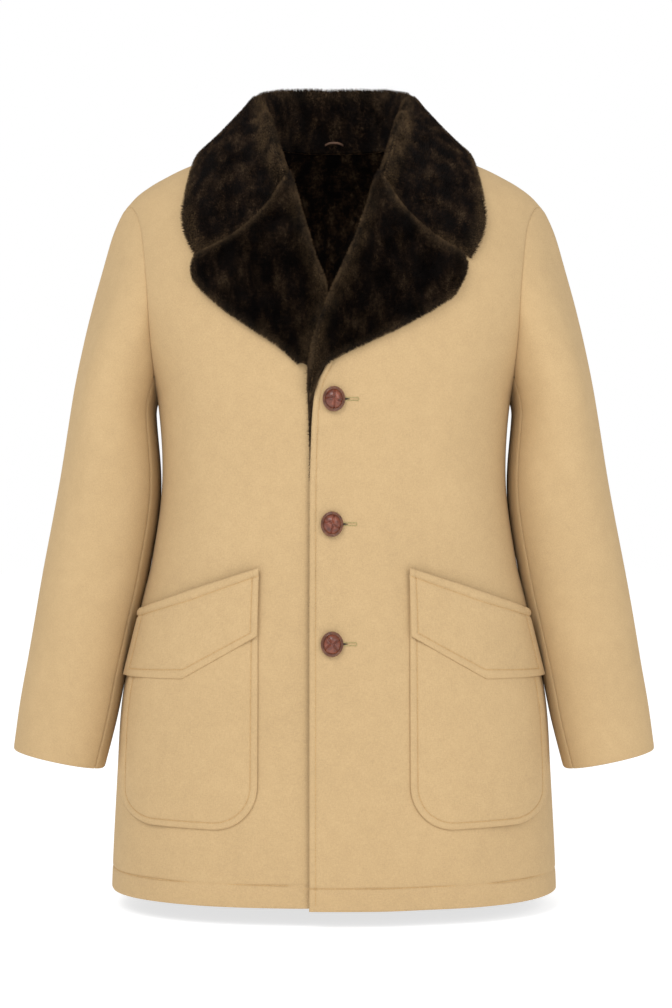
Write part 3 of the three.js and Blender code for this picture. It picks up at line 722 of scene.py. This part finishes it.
def evenPoints(points, count):
    lengths = lengthsOf(points)
    return [alongPoints(points, lengths, k / (count - 1)) for k in range(count)]


pile = {
    "length": 5.4, "shortest": 0.8, "bladeWidth": 0.17, "stray": 0.35, "cloudMm": 24, "drift": 1.5,
}


# Blades of pile set on a surface by points. They lean with a slow drift, as brushed pile does,
# and a little each its own way, and keep the surface's normal for their shading.
def pileNodes(name, density, length, seed, stray):
    tree = bpy.data.node_groups.new(name, "GeometryNodeTree")
    for direction in ("INPUT", "OUTPUT"):
        tree.interface.new_socket("Geometry", in_out=direction, socket_type="NodeSocketGeometry")
    source = addNode(tree, "NodeGroupInput")
    scatter = addNode(tree, "GeometryNodeDistributePointsOnFaces", inputs={
        "Mesh": source.outputs[0], "Density": density, "Seed": seed})
    normal = scatter.outputs["Normal"]
    store = {"data_type": "FLOAT_VECTOR", "domain": "POINT"}
    kept = addNode(tree, "GeometryNodeStoreNamedAttribute", store, {
        "Geometry": scatter.outputs["Points"], "Name": "skinNormal", "Value": normal})
    cloud = addNode(tree, "ShaderNodeTexNoise", inputs={"Scale": 1000 / pile["cloudMm"], "Detail": 1.0})
    centred = addNode(tree, "ShaderNodeVectorMath", {"operation": "SUBTRACT"}, {
        0: cloud.outputs["Color"], 1: (0.5, 0.5, 0.5)})
    drift = addNode(tree, "ShaderNodeVectorMath", {"operation": "SCALE"}, {
        0: centred, "Scale": pile["drift"]})
    own = addNode(tree, "FunctionNodeRandomValue", {"data_type": "FLOAT_VECTOR"}, {
        0: (-stray,) * 3, 1: (stray,) * 3, "Seed": seed + 1})
    leaning = addNode(tree, "ShaderNodeVectorMath", {"operation": "ADD"}, {0: drift, 1: own})
    along = addNode(tree, "ShaderNodeVectorMath", {"operation": "ADD"}, {0: normal, 1: leaning})
    stood = addNode(tree, "FunctionNodeAlignRotationToVector", {"axis": "Z"}, {"Vector": along})
    spin = addNode(tree, "FunctionNodeRandomValue", {"data_type": "FLOAT_VECTOR"}, {
        0: (0, 0, 0), 1: (0, 0, 6.28), "Seed": seed + 3})
    turned = addNode(tree, "FunctionNodeRotateRotation", {"rotation_space": "LOCAL"}, {
        "Rotation": stood.outputs[0], "Rotate By": spin.outputs[0]})
    size = addNode(tree, "FunctionNodeRandomValue", {"data_type": "FLOAT"}, {
        2: pile["shortest"] * length * mm, 3: length * mm, "Seed": seed + 2})
    strand = addNode(tree, "GeometryNodeObjectInfo", inputs={"Object": blade})
    placed = addNode(tree, "GeometryNodeInstanceOnPoints", inputs={
        "Points": kept.outputs[0], "Instance": strand.outputs["Geometry"],
        "Rotation": turned.outputs[0], "Scale": size.outputs[1]})
    real = addNode(tree, "GeometryNodeRealizeInstances", inputs={"Geometry": placed.outputs[0]})
    painted = addNode(tree, "GeometryNodeSetMaterial", inputs={
        "Geometry": real.outputs[0], "Material": pileStrands})
    addNode(tree, "NodeGroupOutput", inputs={"Geometry": painted.outputs[0]})
    return tree


# One blade, a unit long: a flat point, wide at the root
def pileBlade(width):
    bm = bmesh.new()
    bmesh.ops.create_circle(bm, cap_ends=True, segments=3, radius=1)
    bmesh.ops.scale(bm, verts=bm.verts[:], vec=(width / 1.732, 1 / 1.5, 1))
    bmesh.ops.rotate(bm, verts=bm.verts[:], cent=(0, 0, 0), matrix=Matrix.Rotation(math.pi / 2, 3, "X"))
    lowest = min(vert.co.z for vert in bm.verts)
    tip = bm.verts.layers.float.new("tip")
    for vert in bm.verts:
        vert.co.z -= lowest
        vert[tip] = vert.co.z
    strand = addMesh("pileBlade", bm, [], smooth=False)
    strand.hide_render = True
    strand.hide_viewport = True
    return strand


# A skin of backing cloth, which is the sheet, and the pile on it
def addPilePiece(node, bm, blades, seed, thick, length=pile["length"],
                 stray=pile["stray"]):
    base = addMesh(node + "_skin", bm, [pileCloth])
    density = blades / sum(face.area for face in base.data.polygons)
    strands = addObject(node + "_pile", base.data.copy())
    scatter = strands.modifiers.new("pile", "NODES")
    scatter.node_group = pileNodes(node + "_pileNodes", density, length, seed, stray)
    declare(strands)
    finishShell(base, thick)
    declare(base, [node])


blade = pileBlade(pile["bladeWidth"])

# Lapels, from the roll line to the free edge, rows down from the gorge
lapels = {
    "left": {
        "side": 1,
        "roll": [(50.5, -57), (31, -116), (13, -158), (-4.4, -197), (-20, -240), (-26, -278), (-27.5, -302)],
        "gorge": [(50.5, -55), (65, -86), (78, -103), (92, -117), (113, -133), (142, -150)],
        "edge": [
            (142, -153), (145.5, -167), (136, -191), (115, -207), (88, -222.5), (42, -245), (9, -260),
            (-6, -268), (-17, -278), (-25, -303),
        ],
    },
    "right": {
        "side": -1,
        "roll": [(-50.5, -57), (-36, -106), (-21, -153), (-8, -192), (-22.5, -235), (-29.5, -274)],
        "gorge": [(-50.5, -55), (-65, -86), (-78, -103), (-92, -117), (-114, -133), (-151, -151)],
        "edge": [
            (-150, -154), (-155, -166), (-152, -181), (-118, -212), (-81, -237.5), (-60, -251), (-37, -271),
        ],
    },
}
lapelPile = {"height": 5.0, "inset": 1.6, "long": 210, "centreX": 45, "centreZ": -165, "stand": 3.4}


def flatLine(points):
    fine = smoothLine([Vector((x, 0, z)) for x, z in points], 120)
    lengths = lengthsOf(fine)
    return lambda share: alongPoints(fine, lengths, share)


def lapelGrid(spec):
    rollAt, gorgeAt, edgeAt = [flatLine(spec[key]) for key in ("roll", "gorge", "edge")]
    corner, tip = [Vector((x, 0, z)) for x, z in (spec["roll"][0], spec["edge"][0])]
    centre = Vector((spec["side"] * lapelPile["centreX"], 0, lapelPile["centreZ"]))
    height, long = lapelPile["height"], lapelPile["long"]
    acrossStops = [0, 0.015, 0.04, 0.07, 0.11] + [0.16 + 0.045 * k for k in range(16)]
    acrossStops += [0.87, 0.91, 0.94, 0.965, 0.985, 1]
    downStops = [0, 0.015, 0.04, 0.07] + [0.11 + 0.035 * k for k in range(24)] + [0.95, 0.975, 1]

    def widthAt(down):
        return (edgeAt(down) - rollAt(down)).length

    def place(across, up):
        down = 1 - up
        flat = rollAt(down).lerp(edgeAt(down), across)
        flat = flat + (gorgeAt(across) - corner.lerp(tip, across)) * (1 - down) ** 3
        width = widthAt(down)
        near = min(across * width, (1 - across) * width, down * long, (1 - down) * long + 2)
        rise = height * math.sqrt(clamp(1 - (1 - clamp(near / (height * 1.3))) ** 2))
        pull = 1 - lapelPile["inset"] / max((flat - centre).length, 30)
        flat = centre + (flat - centre) * pull
        stand = lapelPile["stand"] * (1 - ease(down * long, 2, 44))
        return offBody("front", flat.x, flat.z, 1.2 + rise + stand, spec["side"])

    # Share of painted highlight on the lapel's pile: along the roll line, the gorge and the free edge, less
    # in the corner where roll and gorge meet
    def rimHighlight(across, up):
        down = 1 - up
        width = widthAt(down)
        inCorner = 1 - ease(math.hypot(across * width, down * long), 4, 26)
        atRoll, atGorge = 1 - ease(across * width, 3, 19), 1 - ease(down * long, 2, 16)
        atEdge = 0.6 - ease((1 - across) * width, 2, 14)
        return max(atRoll, atGorge, atEdge) * (1 - 0.8 * inCorner)

    upStops = [1 - stop for stop in reversed(downStops)]
    return clothGrid(acrossStops, upStops, place, (150, 230), lambda centre: Vector((0, -1, 0.2)), rimHighlight)


for name, spec in lapels.items():
    addPilePiece("lapel_" + name, lapelGrid(spec), 60000, 11 + spec["side"], 1.2)
print("lapels")

collar = {
    "clear": 3.4, "thick": 8, "inset": 4.0, "rows": 64, "columns": 150, "rowGap": 3.0, "columnGap": 3.6,
    "wide": 500, "high": 190, "smoothing": 4,
    "rollAt": makeTable(("front", "share"), [
        (0, 0.41), (0.35, 0.37), (0.46, 0.31), (0.63, 0.25), (0.8, 0.2), (1, 0.17)]),
}
# Collar from centre back to front: foot of the stand, centre, radius and lean of the fold, then
# the free edge on a face of the body, with a bulge before it or a point that it lies on
collarStations = [
    ((0, 65, -8), (0, 84, 64), 9, 0, "back", (0, -44), 8, None),
    ((34, 59, -8), (36, 79, 64), 9, 0, "back", (64, -46), 9, None),
    ((55, 45, -8), (64, 62, 58), 11, 0, "back", (116, -58), 9, None),
    ((65, 26, -8), (86, 34, 46), 14, 0, "back", (152, -66), 6, None),
    ((69, 4, -10), (91, 4, 36), 14, 0, "ridge", (156, 0), -2, None),
    ((66, -32, -18), (77, -40, 13), 10, 14, "front", (165.5, -84), 9, None),
    ((61, -62, -36), (68, -76, -20), 9, 30, "front", (165, -120), 0, (116, -88)),
    ((49, -96, -70), (54, -112, -67), 9, 52, "front", (151, -151), 0, (80, -122)),
]


def collarLine(station, mirror):
    foot, fold, radius, leanAngle, face, (x, z), bulge, restsAt = station
    base, centre = Vector(foot), Vector(fold)
    lift = collar["thick"] + collar["clear"]
    if face == "ridge":
        slope = Vector((coat["shoulderSlope"], 0, 1)).normalized()
        end = Vector((x, coat["sideY"], ridgeZ(x, "front"))) + slope * lift
    else:
        end = offBody(face, x, z, lift)
    out = Vector((end.x - base.x, end.y - base.y, 0)).normalized()
    lean = math.radians(leanAngle)
    up = Vector((0, -math.sin(lean), math.cos(lean)))
    shoulder = centre + out * radius
    if restsAt:
        middle = offBody(face, *restsAt, collar["thick"] + 2 * collar["clear"])
    else:
        middle = shoulder.lerp(end, 0.5) + up * bulge
    points = [base, centre - out * radius, centre + up * radius, shoulder, middle, end]
    return [Vector((mirror * p.x, p.y, p.z)) for p in smoothLine(points, collar["rows"])]


def collarGrid():
    down, around = collar["rows"], collar["columns"]
    lines = [collarLine(station, -1) for station in reversed(collarStations[1:])]
    lines += [collarLine(station, 1) for station in collarStations]
    strips = [smoothLine([line[n] for line in lines], around) for n in range(down)]

    def at(i, j):
        return strips[min(max(j, 0), down - 1)][min(max(i, 0), around - 1)]

    def place(across, up):
        i, j = round(across * (around - 1)), round(up * (down - 1))
        normal = (at(i + 1, j) - at(i - 1, j)).cross(at(i, j + 1) - at(i, j - 1)).normalized()
        fromEnd = min(i, around - 1 - i) * collar["columnGap"]
        fromEdge = (down - 1 - j) * collar["rowGap"]
        curl = edgeRound(fromEnd, 12, 4.2) + edgeRound(fromEdge, 8, 3.4)
        return at(i, j) - normal * (collar["inset"] + curl)

    # Share of painted highlight on the collar's pile: along the roll's fold, strongest towards the front, at
    # the free edge and at the ends
    def rimHighlight(across, up):
        front = abs(across - 0.5) * 2
        fold = 1 - ease(abs(up - readTable(collar["rollAt"], "share", front)), 0.04, 0.14)
        free = 1 - ease((1 - up) * collar["high"], 5, 24)
        end = 0.7 - ease((1 - front) * collar["wide"] / 2, 2, 14)
        return max(fold * mix(0.5, 1, ease(front, 0.2, 0.5)), free, end)

    cut = collar["wide"], collar["high"]
    bm = clothGrid(evenStops(around - 1), evenStops(down - 1), place, cut, rimHighlight=rimHighlight)
    inner = [vert for vert in bm.verts if not vert.is_boundary]
    for step in range(collar["smoothing"]):
        bmesh.ops.smooth_vert(
            bm, verts=inner, factor=0.5, use_axis_x=True, use_axis_y=True, use_axis_z=True)
    return bm


addPilePiece("collar", collarGrid(), 170000, 21, 2.0)
print("collar")

# Pile lining inside the back of the neck, and the facing that peeps out beside the left edge
neckLining = {
    "halfWidth": 104, "sideTop": -12, "middleTop": 0.5, "bottom": -250, "depth": coat["cloth"] + 6,
    "gap": 1, "steps": 40,
}


def liningGrid():
    def place(across, up):
        x = mix(-neckLining["halfWidth"], neckLining["halfWidth"], across)
        top = mix(neckLining["middleTop"], neckLining["sideTop"], ease(abs(x), 50, 70))
        z = mix(neckLining["bottom"], top, up)
        return offBody("back", x, z, edgeRound(top - z, 10, 7) - neckLining["depth"] - neckLining["gap"])

    stops = evenStops(neckLining["steps"])
    return clothGrid(stops, stops, place, (208, 240), forwardOut)


addPilePiece("neck_lining", liningGrid(), 60000, 31, 1.2, length=3.6)

facing = {
    "rows": [
        (-570, -25.4), (-500, -25.6), (-450, -25.8), (-392, -26.6), (-330, -28.4), (-292, -29.6),
        (-262, -29),
    ],
    "bottom": -570, "top": -262, "innerX": 12, "rimHighlight": 0.6,
}


def facingGrid():
    table = makeTable(("z", "x"), facing["rows"])

    def place(across, up):
        z = mix(facing["bottom"], facing["top"], up)
        return offBody("front", mix(readTable(table, "x", z) + 0.5, facing["innerX"], across), z, 1.6)

    # Every point of the strip gets the painted highlight at a constant share, as pile seen edge-on beside the
    # front edge
    return clothGrid(
        evenStops(12), evenStops(90), place, (42, 286), forwardOut, lambda across, up: facing["rimHighlight"])


addPilePiece("facing_left", facingGrid(), 14000, 41, 1.0, length=5.0, stray=0.8)
print("lining and facing")

# Patch pockets and flaps
pocket = {
    "inner": [(83, -512), (83, -650), (83.5, -783)], "innerRadius": 50,
    "outer": [(214, -554), (236, -640), (242, -730), (240, -781)], "outerRadius": 40,
    "cut": (158, 275), "gap": 0.6, "puff": 1.6, "stitch": 8,
}
flap = {
    "top": [(81, -495), (150, -519), (217, -545)],
    "bottom": [(83, -570), (166, -619), (237, -621)],
    "cut": (155, 76), "gap": 4.2, "ridge": 9, "proud": 1.6, "stitch": 8, "puff": 1.2,
}
fineStops = [0, 0.8, 1.8, 3.2, 5, 6.4, 7.4, 8, 8.6, 9.6, 11.5, 14]
ridgeStops = [0, 1, 2.4, 4.5, 7, 8.2, 9, 9.8, 11, 13]


# The lower corners turn round arcs, with the rows beside the edge kept parallel to it
def roundCorner(across, up):
    wide, high = pocket["cut"]
    radius = pocket["innerRadius"] if across < 0.5 else pocket["outerRadius"]
    a, b = 1 - min(across, 1 - across) * wide / radius, 1 - up * high / radius
    if min(a, b) <= 0:
        return across, up
    scale = max(a, b) / math.hypot(a, b)
    inset = (1 - a * scale) * radius / wide
    return inset if across < 0.5 else 1 - inset, (1 - b * scale) * radius / high


def pocketPoint(side, across, up):
    turned, level = roundCorner(across, up)
    flat = pocketInner(1 - level).lerp(pocketOuter(1 - level), turned)
    wide, high = pocket["cut"]
    near = min(across * wide, (1 - across) * wide, up * high)
    rise = pocket["puff"] * ease(near, 8, 30) - edgeRound(near, 3, 1.4)
    rise -= groove(near, pocket["stitch"], 1.4, 0.9)
    return offBody("front", side * flat.x, flat.z, pocket["gap"] + coat["cloth"] + rise, side)


def flapPoint(side, across, up):
    inner, point, outer = [Vector((x, 0, z)) for x, z in flap["bottom"]]
    share = (point.x - inner.x) / (outer.x - inner.x)
    if across < share:
        end = inner.lerp(point, across / share)
    else:
        end = point.lerp(outer, (across - share) / (1 - share))
    flat = end.lerp(flapTop(across), up)
    wide, high = flap["cut"]
    fromTop, near = (1 - up) * high, min(across * wide, (1 - across) * wide, up * high)
    rise = flap["puff"] * ease(near, 8, 22) - edgeRound(near, 3, 1.4)
    rise -= groove(near, flap["stitch"], 1.4, 0.9)
    band = flap["proud"] * (1 - ease(fromTop, 6, 9)) - edgeRound(fromTop, 4, 1.6)
    rise += band - groove(fromTop, flap["ridge"], 1.2, 0.9)
    return offBody("front", side * flat.x, flat.z, flap["gap"] + coat["cloth"] + rise, side)


pocketInner, pocketOuter = flatLine(pocket["inner"]), flatLine(pocket["outer"])
flapTop = flatLine(flap["top"])


def patchGrid(pointAt, side, cut, step, topStops=()):
    across, up = stopsAlong(cut[0], fineStops, step, fineStops), stopsAlong(cut[1], fineStops, step, topStops)
    return clothGrid(across, up, lambda a, u: pointAt(side, a, u), cut, bodyOut)


for name, side in (("left", 1), ("right", -1)):
    patch = patchGrid(pocketPoint, side, pocket["cut"], 4)
    addCloth("pocket_" + name, patch, wool)
    patch = patchGrid(flapPoint, side, flap["cut"], 3.2, ridgeStops)
    addCloth("flap_" + name, patch, wool)
print("pockets and flaps")

# Topstitching: short threads sunk in the grooves
thread = {"pitch": 3.4, "long": 2.5, "wide": 0.55, "high": 0.5, "sink": 0.2, "near": 0.004}


def sewAlong(bm, points, outs):
    lengths = lengthsOf(points)
    size = Matrix.Diagonal((thread["long"] * mm, thread["wide"] * mm, thread["high"] * mm, 1))
    for k in range(int(lengths[-1] / thread["pitch"])):
        at = (k + 0.5) * thread["pitch"] / lengths[-1]
        shares = at, min(at + thread["near"], 1), max(at - thread["near"], 0)
        middle, ahead, behind = [alongPoints(points, lengths, share) for share in shares]
        along = (ahead - behind).normalized()
        out = outs[min(int(at * len(outs)), len(outs) - 1)]
        side = out.cross(along).normalized()
        out = along.cross(side)
        turn = Matrix((along, side, out)).transposed().to_4x4()
        place = Matrix.Translation((middle + out * thread["sink"]) * mm)
        bmesh.ops.create_cube(bm, size=1, matrix=place @ turn @ size)


def patchRun(pointAt, side, corners, steps=60):
    points, outs = [], []
    for (a0, u0), (a1, u1) in zip(corners, corners[1:]):
        for k in range(steps):
            a, u = mix(a0, a1, k / steps), mix(u0, u1, k / steps)
            points.append(pointAt(side, a, u))
            across = pointAt(side, min(a + 0.02, 1), u) - pointAt(side, max(a - 0.02, 0), u)
            up = pointAt(side, a, min(u + 0.02, 1)) - pointAt(side, a, max(u - 0.02, 0))
            outs.append(across.cross(up).normalized() * side)
    return points, outs


bm = bmesh.new()
for side in (1, -1):
    wide, high = pocket["cut"]
    a, u = pocket["stitch"] / wide, pocket["stitch"] / high
    sewAlong(bm, *patchRun(pocketPoint, side, [(a, 0.93), (a, u), (1 - a, u), (1 - a, 0.93)]))
    wide, high = flap["cut"]
    a, u, top = flap["stitch"] / wide, flap["stitch"] / high, 1 - flap["ridge"] / high
    sewAlong(bm, *patchRun(flapPoint, side, [(a, top), (a, u), (1 - a, u), (1 - a, top)]))
    sewAlong(bm, *patchRun(flapPoint, side, [(0.01, top), (0.99, top)]))
heights = [mix(-862, -272, share) for share in evenStops(200)]
edgeLine = [
    offBody("front", readTable(edgeTables[1], "x", z) + coat["edgeStitch"], z, -0.9, 1) for z in heights]
sewAlong(bm, edgeLine, [forwardOut(point) for point in edgeLine])
hemLevel = (coat["hemZ"] + coat["hemStitch"] - coat["armholeZ"]) / bodyHeight
for face, side, fromAngle, toAngle in (("front", 1, -5, 89), ("front", -1, 8, 89), ("back", 1, -89, 89)):
    angles = [mix(fromAngle, toAngle, k / 160) for k in range(161)]
    outs = [bodyNormal(face, side, angle, hemLevel, side) for angle in angles]
    sewAlong(bm, [bodyPoint(face, side, angle, hemLevel, side if face == "front" else 0) - out * 0.9
                  for angle, out in zip(angles, outs)], outs)
stitches = addMesh("topstitching", bm, [camelThread], smooth=False)
declare(stitches)
print("topstitching")

# Keyhole buttonholes: whipped edges with the eye away from the front edge, and a dark cone along each slit as
# painted shade for the opening
buttonhole = {"from": 10, "to": 27, "half": 1.5, "eye": 2.1, "slitEnd": 17.5, "pitch": 0.62}
buttons = [("button_top", 0, -310, 0), ("button_middle", -2, -447, -8), ("button_bottom", -2, -578, 42)]


def onFront(x, z, out):
    return offBody("front", x, z, out, 1)


bm, slits = bmesh.new(), bmesh.new()
quarterTurn = Matrix.Rotation(math.pi / 2, 4, "Y")
for name, x, z, turn in buttons:
    start, end = x + buttonhole["from"], x + buttonhole["to"]
    half, eye = buttonhole["half"], buttonhole["eye"]
    turns = [k * math.pi / 16 for k in range(2, 15)]
    path = [Vector((mix(start, end - eye, k / 30), 0, half)) for k in range(31)]
    path += [Vector((end - eye + eye * math.sin(t), 0, eye * math.cos(t))) for t in turns]
    path += [Vector((mix(end - eye, start, k / 30), 0, -half)) for k in range(31)]
    lengths = lengthsOf(path)
    for k in range(int(lengths[-1] / buttonhole["pitch"])):
        at = (k + 0.5) * buttonhole["pitch"] / lengths[-1]
        middle, ahead = alongPoints(path, lengths, at), alongPoints(path, lengths, min(at + 0.01, 1))
        angle = math.atan2(ahead.z - middle.z, ahead.x - middle.x)
        place = Matrix.Translation(onFront(middle.x, z + middle.z, 0.15) * mm)
        place = place @ Matrix.Rotation(-angle, 4, "Y")
        bmesh.ops.create_cube(bm, size=1, matrix=place @ Matrix.Diagonal((0.5 * mm, 0.6 * mm, 1.0 * mm, 1)))
    # The dark cone is painted shade: it stands for the shadow inside the cut, not for a part of the coat
    slitLong = x + buttonhole["slitEnd"] - start
    place = Matrix.Translation(onFront(start + slitLong / 2, z, 0) * mm) @ quarterTurn
    bmesh.ops.create_cone(slits, segments=12, radius1=1.5 * mm, radius2=0.2 * mm, depth=slitLong * mm,
                          cap_ends=True, matrix=place)
holes = addMesh("buttonhole_thread", bm, [oliveThread], smooth=False)
declare(holes)
slit = addMesh("buttonhole_slits", slits, [slitShade], smooth=False)
declare(slit)

# Football buttons: a domed top woven from leather strips on a disc with two beads round it
button = {
    "domeRadius": 9.9, "dome": 6.2, "base": 3.2, "grid": 40, "stretch": (0.95, 1.07), "steps": 56,
    "profile": [
        (3, 0.2), (10.8, 0.7), (12.5, 1.9), (13.0, 3.2), (12.7, 4.2), (12.1, 4.6), (11.6, 4.3),
        (11.3, 3.8), (11.0, 4.3), (10.5, 4.6), (10.0, 4.3), (9.7, 3.4),
    ],
}


# Strips that pass over and under each other in turn, with a crease along each edge
def wovenHeight(u, v):
    dome = math.sqrt(max(0, 1 - min(u * u + v * v, 1) * 0.97))
    creases = [
        abs(v - 0.1 + 0.08 * math.sin(3 * u)) if u < 0.06 else 1, abs(u - 0.06 - 0.06 * v) if v > 0.1 else 1,
        abs(v - 0.02 + 0.3 * u) if u > 0 else 1, abs(u - 0.12 - 0.1 * v) if v < 0 else 1,
    ]
    strip = math.cos(8.5 * (u - 0.5 if (u > 0) == (v > 0) else v - 0.45))
    return button["dome"] * dome - 1.7 * math.exp(-((min(creases) / 0.085) ** 2)) + 0.12 * strip


def buttonMesh(turn):
    bm = bmesh.new()
    count = button["grid"]
    bmesh.ops.create_grid(bm, x_segments=count, y_segments=count, size=1)
    for vert in bm.verts:
        x, y = vert.co.x, vert.co.y
        u, v = x * math.sqrt(1 - y * y / 2), y * math.sqrt(1 - x * x / 2)
        height = wovenHeight(u * math.cos(turn) + v * math.sin(turn), v * math.cos(turn) - u * math.sin(turn))
        vert.co = Vector((u * button["domeRadius"], v * button["domeRadius"], button["base"] + height))
    ring = [bm.verts.new((radius, 0, height)) for radius, height in button["profile"]]
    edges = [bm.edges.new(pair) for pair in zip(ring, ring[1:])]
    before = set(bm.faces)
    bmesh.ops.spin(bm, geom=ring + edges, axis=(0, 0, 1), angle=2 * math.pi, steps=button["steps"],
                   use_merge=True)
    for face in bm.faces:
        face.material_index = 0 if face in before else 1
    bmesh.ops.remove_doubles(bm, verts=bm.verts[:], dist=0.001)
    bmesh.ops.recalc_face_normals(bm, faces=bm.faces[:])
    across, up = button["stretch"]
    bmesh.ops.scale(bm, verts=bm.verts[:], vec=(across, up, 1))
    bmesh.ops.rotate(bm, verts=bm.verts[:], cent=(0, 0, 0), matrix=Matrix.Rotation(math.pi / 2, 3, "X"))
    return bm


for name, x, z, turn in buttons:
    bm = buttonMesh(math.radians(turn))
    bmesh.ops.translate(bm, verts=bm.verts[:], vec=onFront(x, z, 0.5))
    bmesh.ops.scale(bm, verts=bm.verts[:], vec=(mm, mm, mm))
    piece = addMesh(name + "_leather", bm, [leather, rimLeather])
    declare(piece, [name])
print("buttons and buttonholes")

# Hanging loop of tape across the foot of the stand
loop = {"halfWidth": 11, "z": 1.4, "rise": 2.6, "height": 2.7, "bow": 4.2, "standY": 65.6}


def loopGrid():
    def place(across, up):
        x = mix(-1, 1, across)
        edge = abs(up - 0.5) * 2
        inward = loop["bow"] * (1 - x ** 4)
        return Vector((x * loop["halfWidth"], loop["standY"] - inward - 0.5 * (1 - edge ** 2),
                       loop["z"] + loop["rise"] * (1 - x * x) + (up - 0.5) * loop["height"]))

    return clothGrid(evenStops(24), evenStops(8), place, (24, 5), forwardOut)


piece = addMesh("hanger_loop_tape", loopGrid(), [brownTape])
finishShell(piece, 1.2)
declare(piece, ["hanger_loop"])

# Camera at the photograph's distance and height, level, and the studio round it
studio = {
    "camera": (0.0023, -2.58, -0.425), "lens": 79.4, "target": (0, 0, -0.42),
    "floorZ": -0.888, "floorGlow": 0.72, "ambient": 0.56,
}
cameraData = bpy.data.cameras.new("camera")
cameraData.lens = studio["lens"]
cameraData.sensor_width = 36
camera = addObject("camera", cameraData)
camera.location = studio["camera"]
camera.rotation_euler = (math.pi / 2, 0, 0)
bpy.context.scene.camera = camera

bm = bmesh.new()
bmesh.ops.create_grid(bm, x_segments=1, y_segments=1, size=12)
bmesh.ops.translate(bm, verts=bm.verts[:], vec=(0, 0, studio["floorZ"]))
# The floor glows white of its own, as painted light: it stays white out to the horizon, keeps its shadow
# under the hem pale and lights the coat a little from below
paleGlowingFloor = plainMaterial("paleGlowingFloor", {
    "Base Color": hexColour("#cfcfcf"), "Roughness": 0.95, "Specular IOR Level": 0,
    "Emission Color": (1, 1, 1, 1), "Emission Strength": studio["floorGlow"],
})
floor = addMesh("floor", bm, [paleGlowingFloor], smooth=False)

world = bpy.data.worlds.new("studio")
bpy.context.scene.world = world
world.use_nodes = True
tree = world.node_tree
tree.nodes.clear()
seen, lit = [addNode(tree, "ShaderNodeBackground", inputs={"Color": (1, 1, 1, 1), "Strength": strength})
             for strength in (1.0, studio["ambient"])]
path = addNode(tree, "ShaderNodeLightPath")
both = addNode(tree, "ShaderNodeMixShader", inputs={
    "Fac": path.outputs["Is Camera Ray"], 1: lit.outputs[0], 2: seen.outputs[0]})
addNode(tree, "ShaderNodeOutputWorld", inputs={"Surface": both.outputs[0]})


def softLight(name, place, size, power):
    light = bpy.data.lights.new(name, "AREA")
    light.shape = "RECTANGLE"
    light.size, light.size_y = size
    light.energy = power
    lamp = addObject(name, light)
    lamp.location = place
    lamp.rotation_euler = (Vector(studio["target"]) - Vector(place)).to_track_quat("-Z", "Y").to_euler()


softLight("keyLight", (-1.1, -2.5, 1.9), (1.8, 1.8), 61)
softLight("fillLight", (1.6, -2.4, 0.7), (1.6, 1.8), 25)
bpy.context.scene.view_settings.view_transform = "Standard"
print("studio")
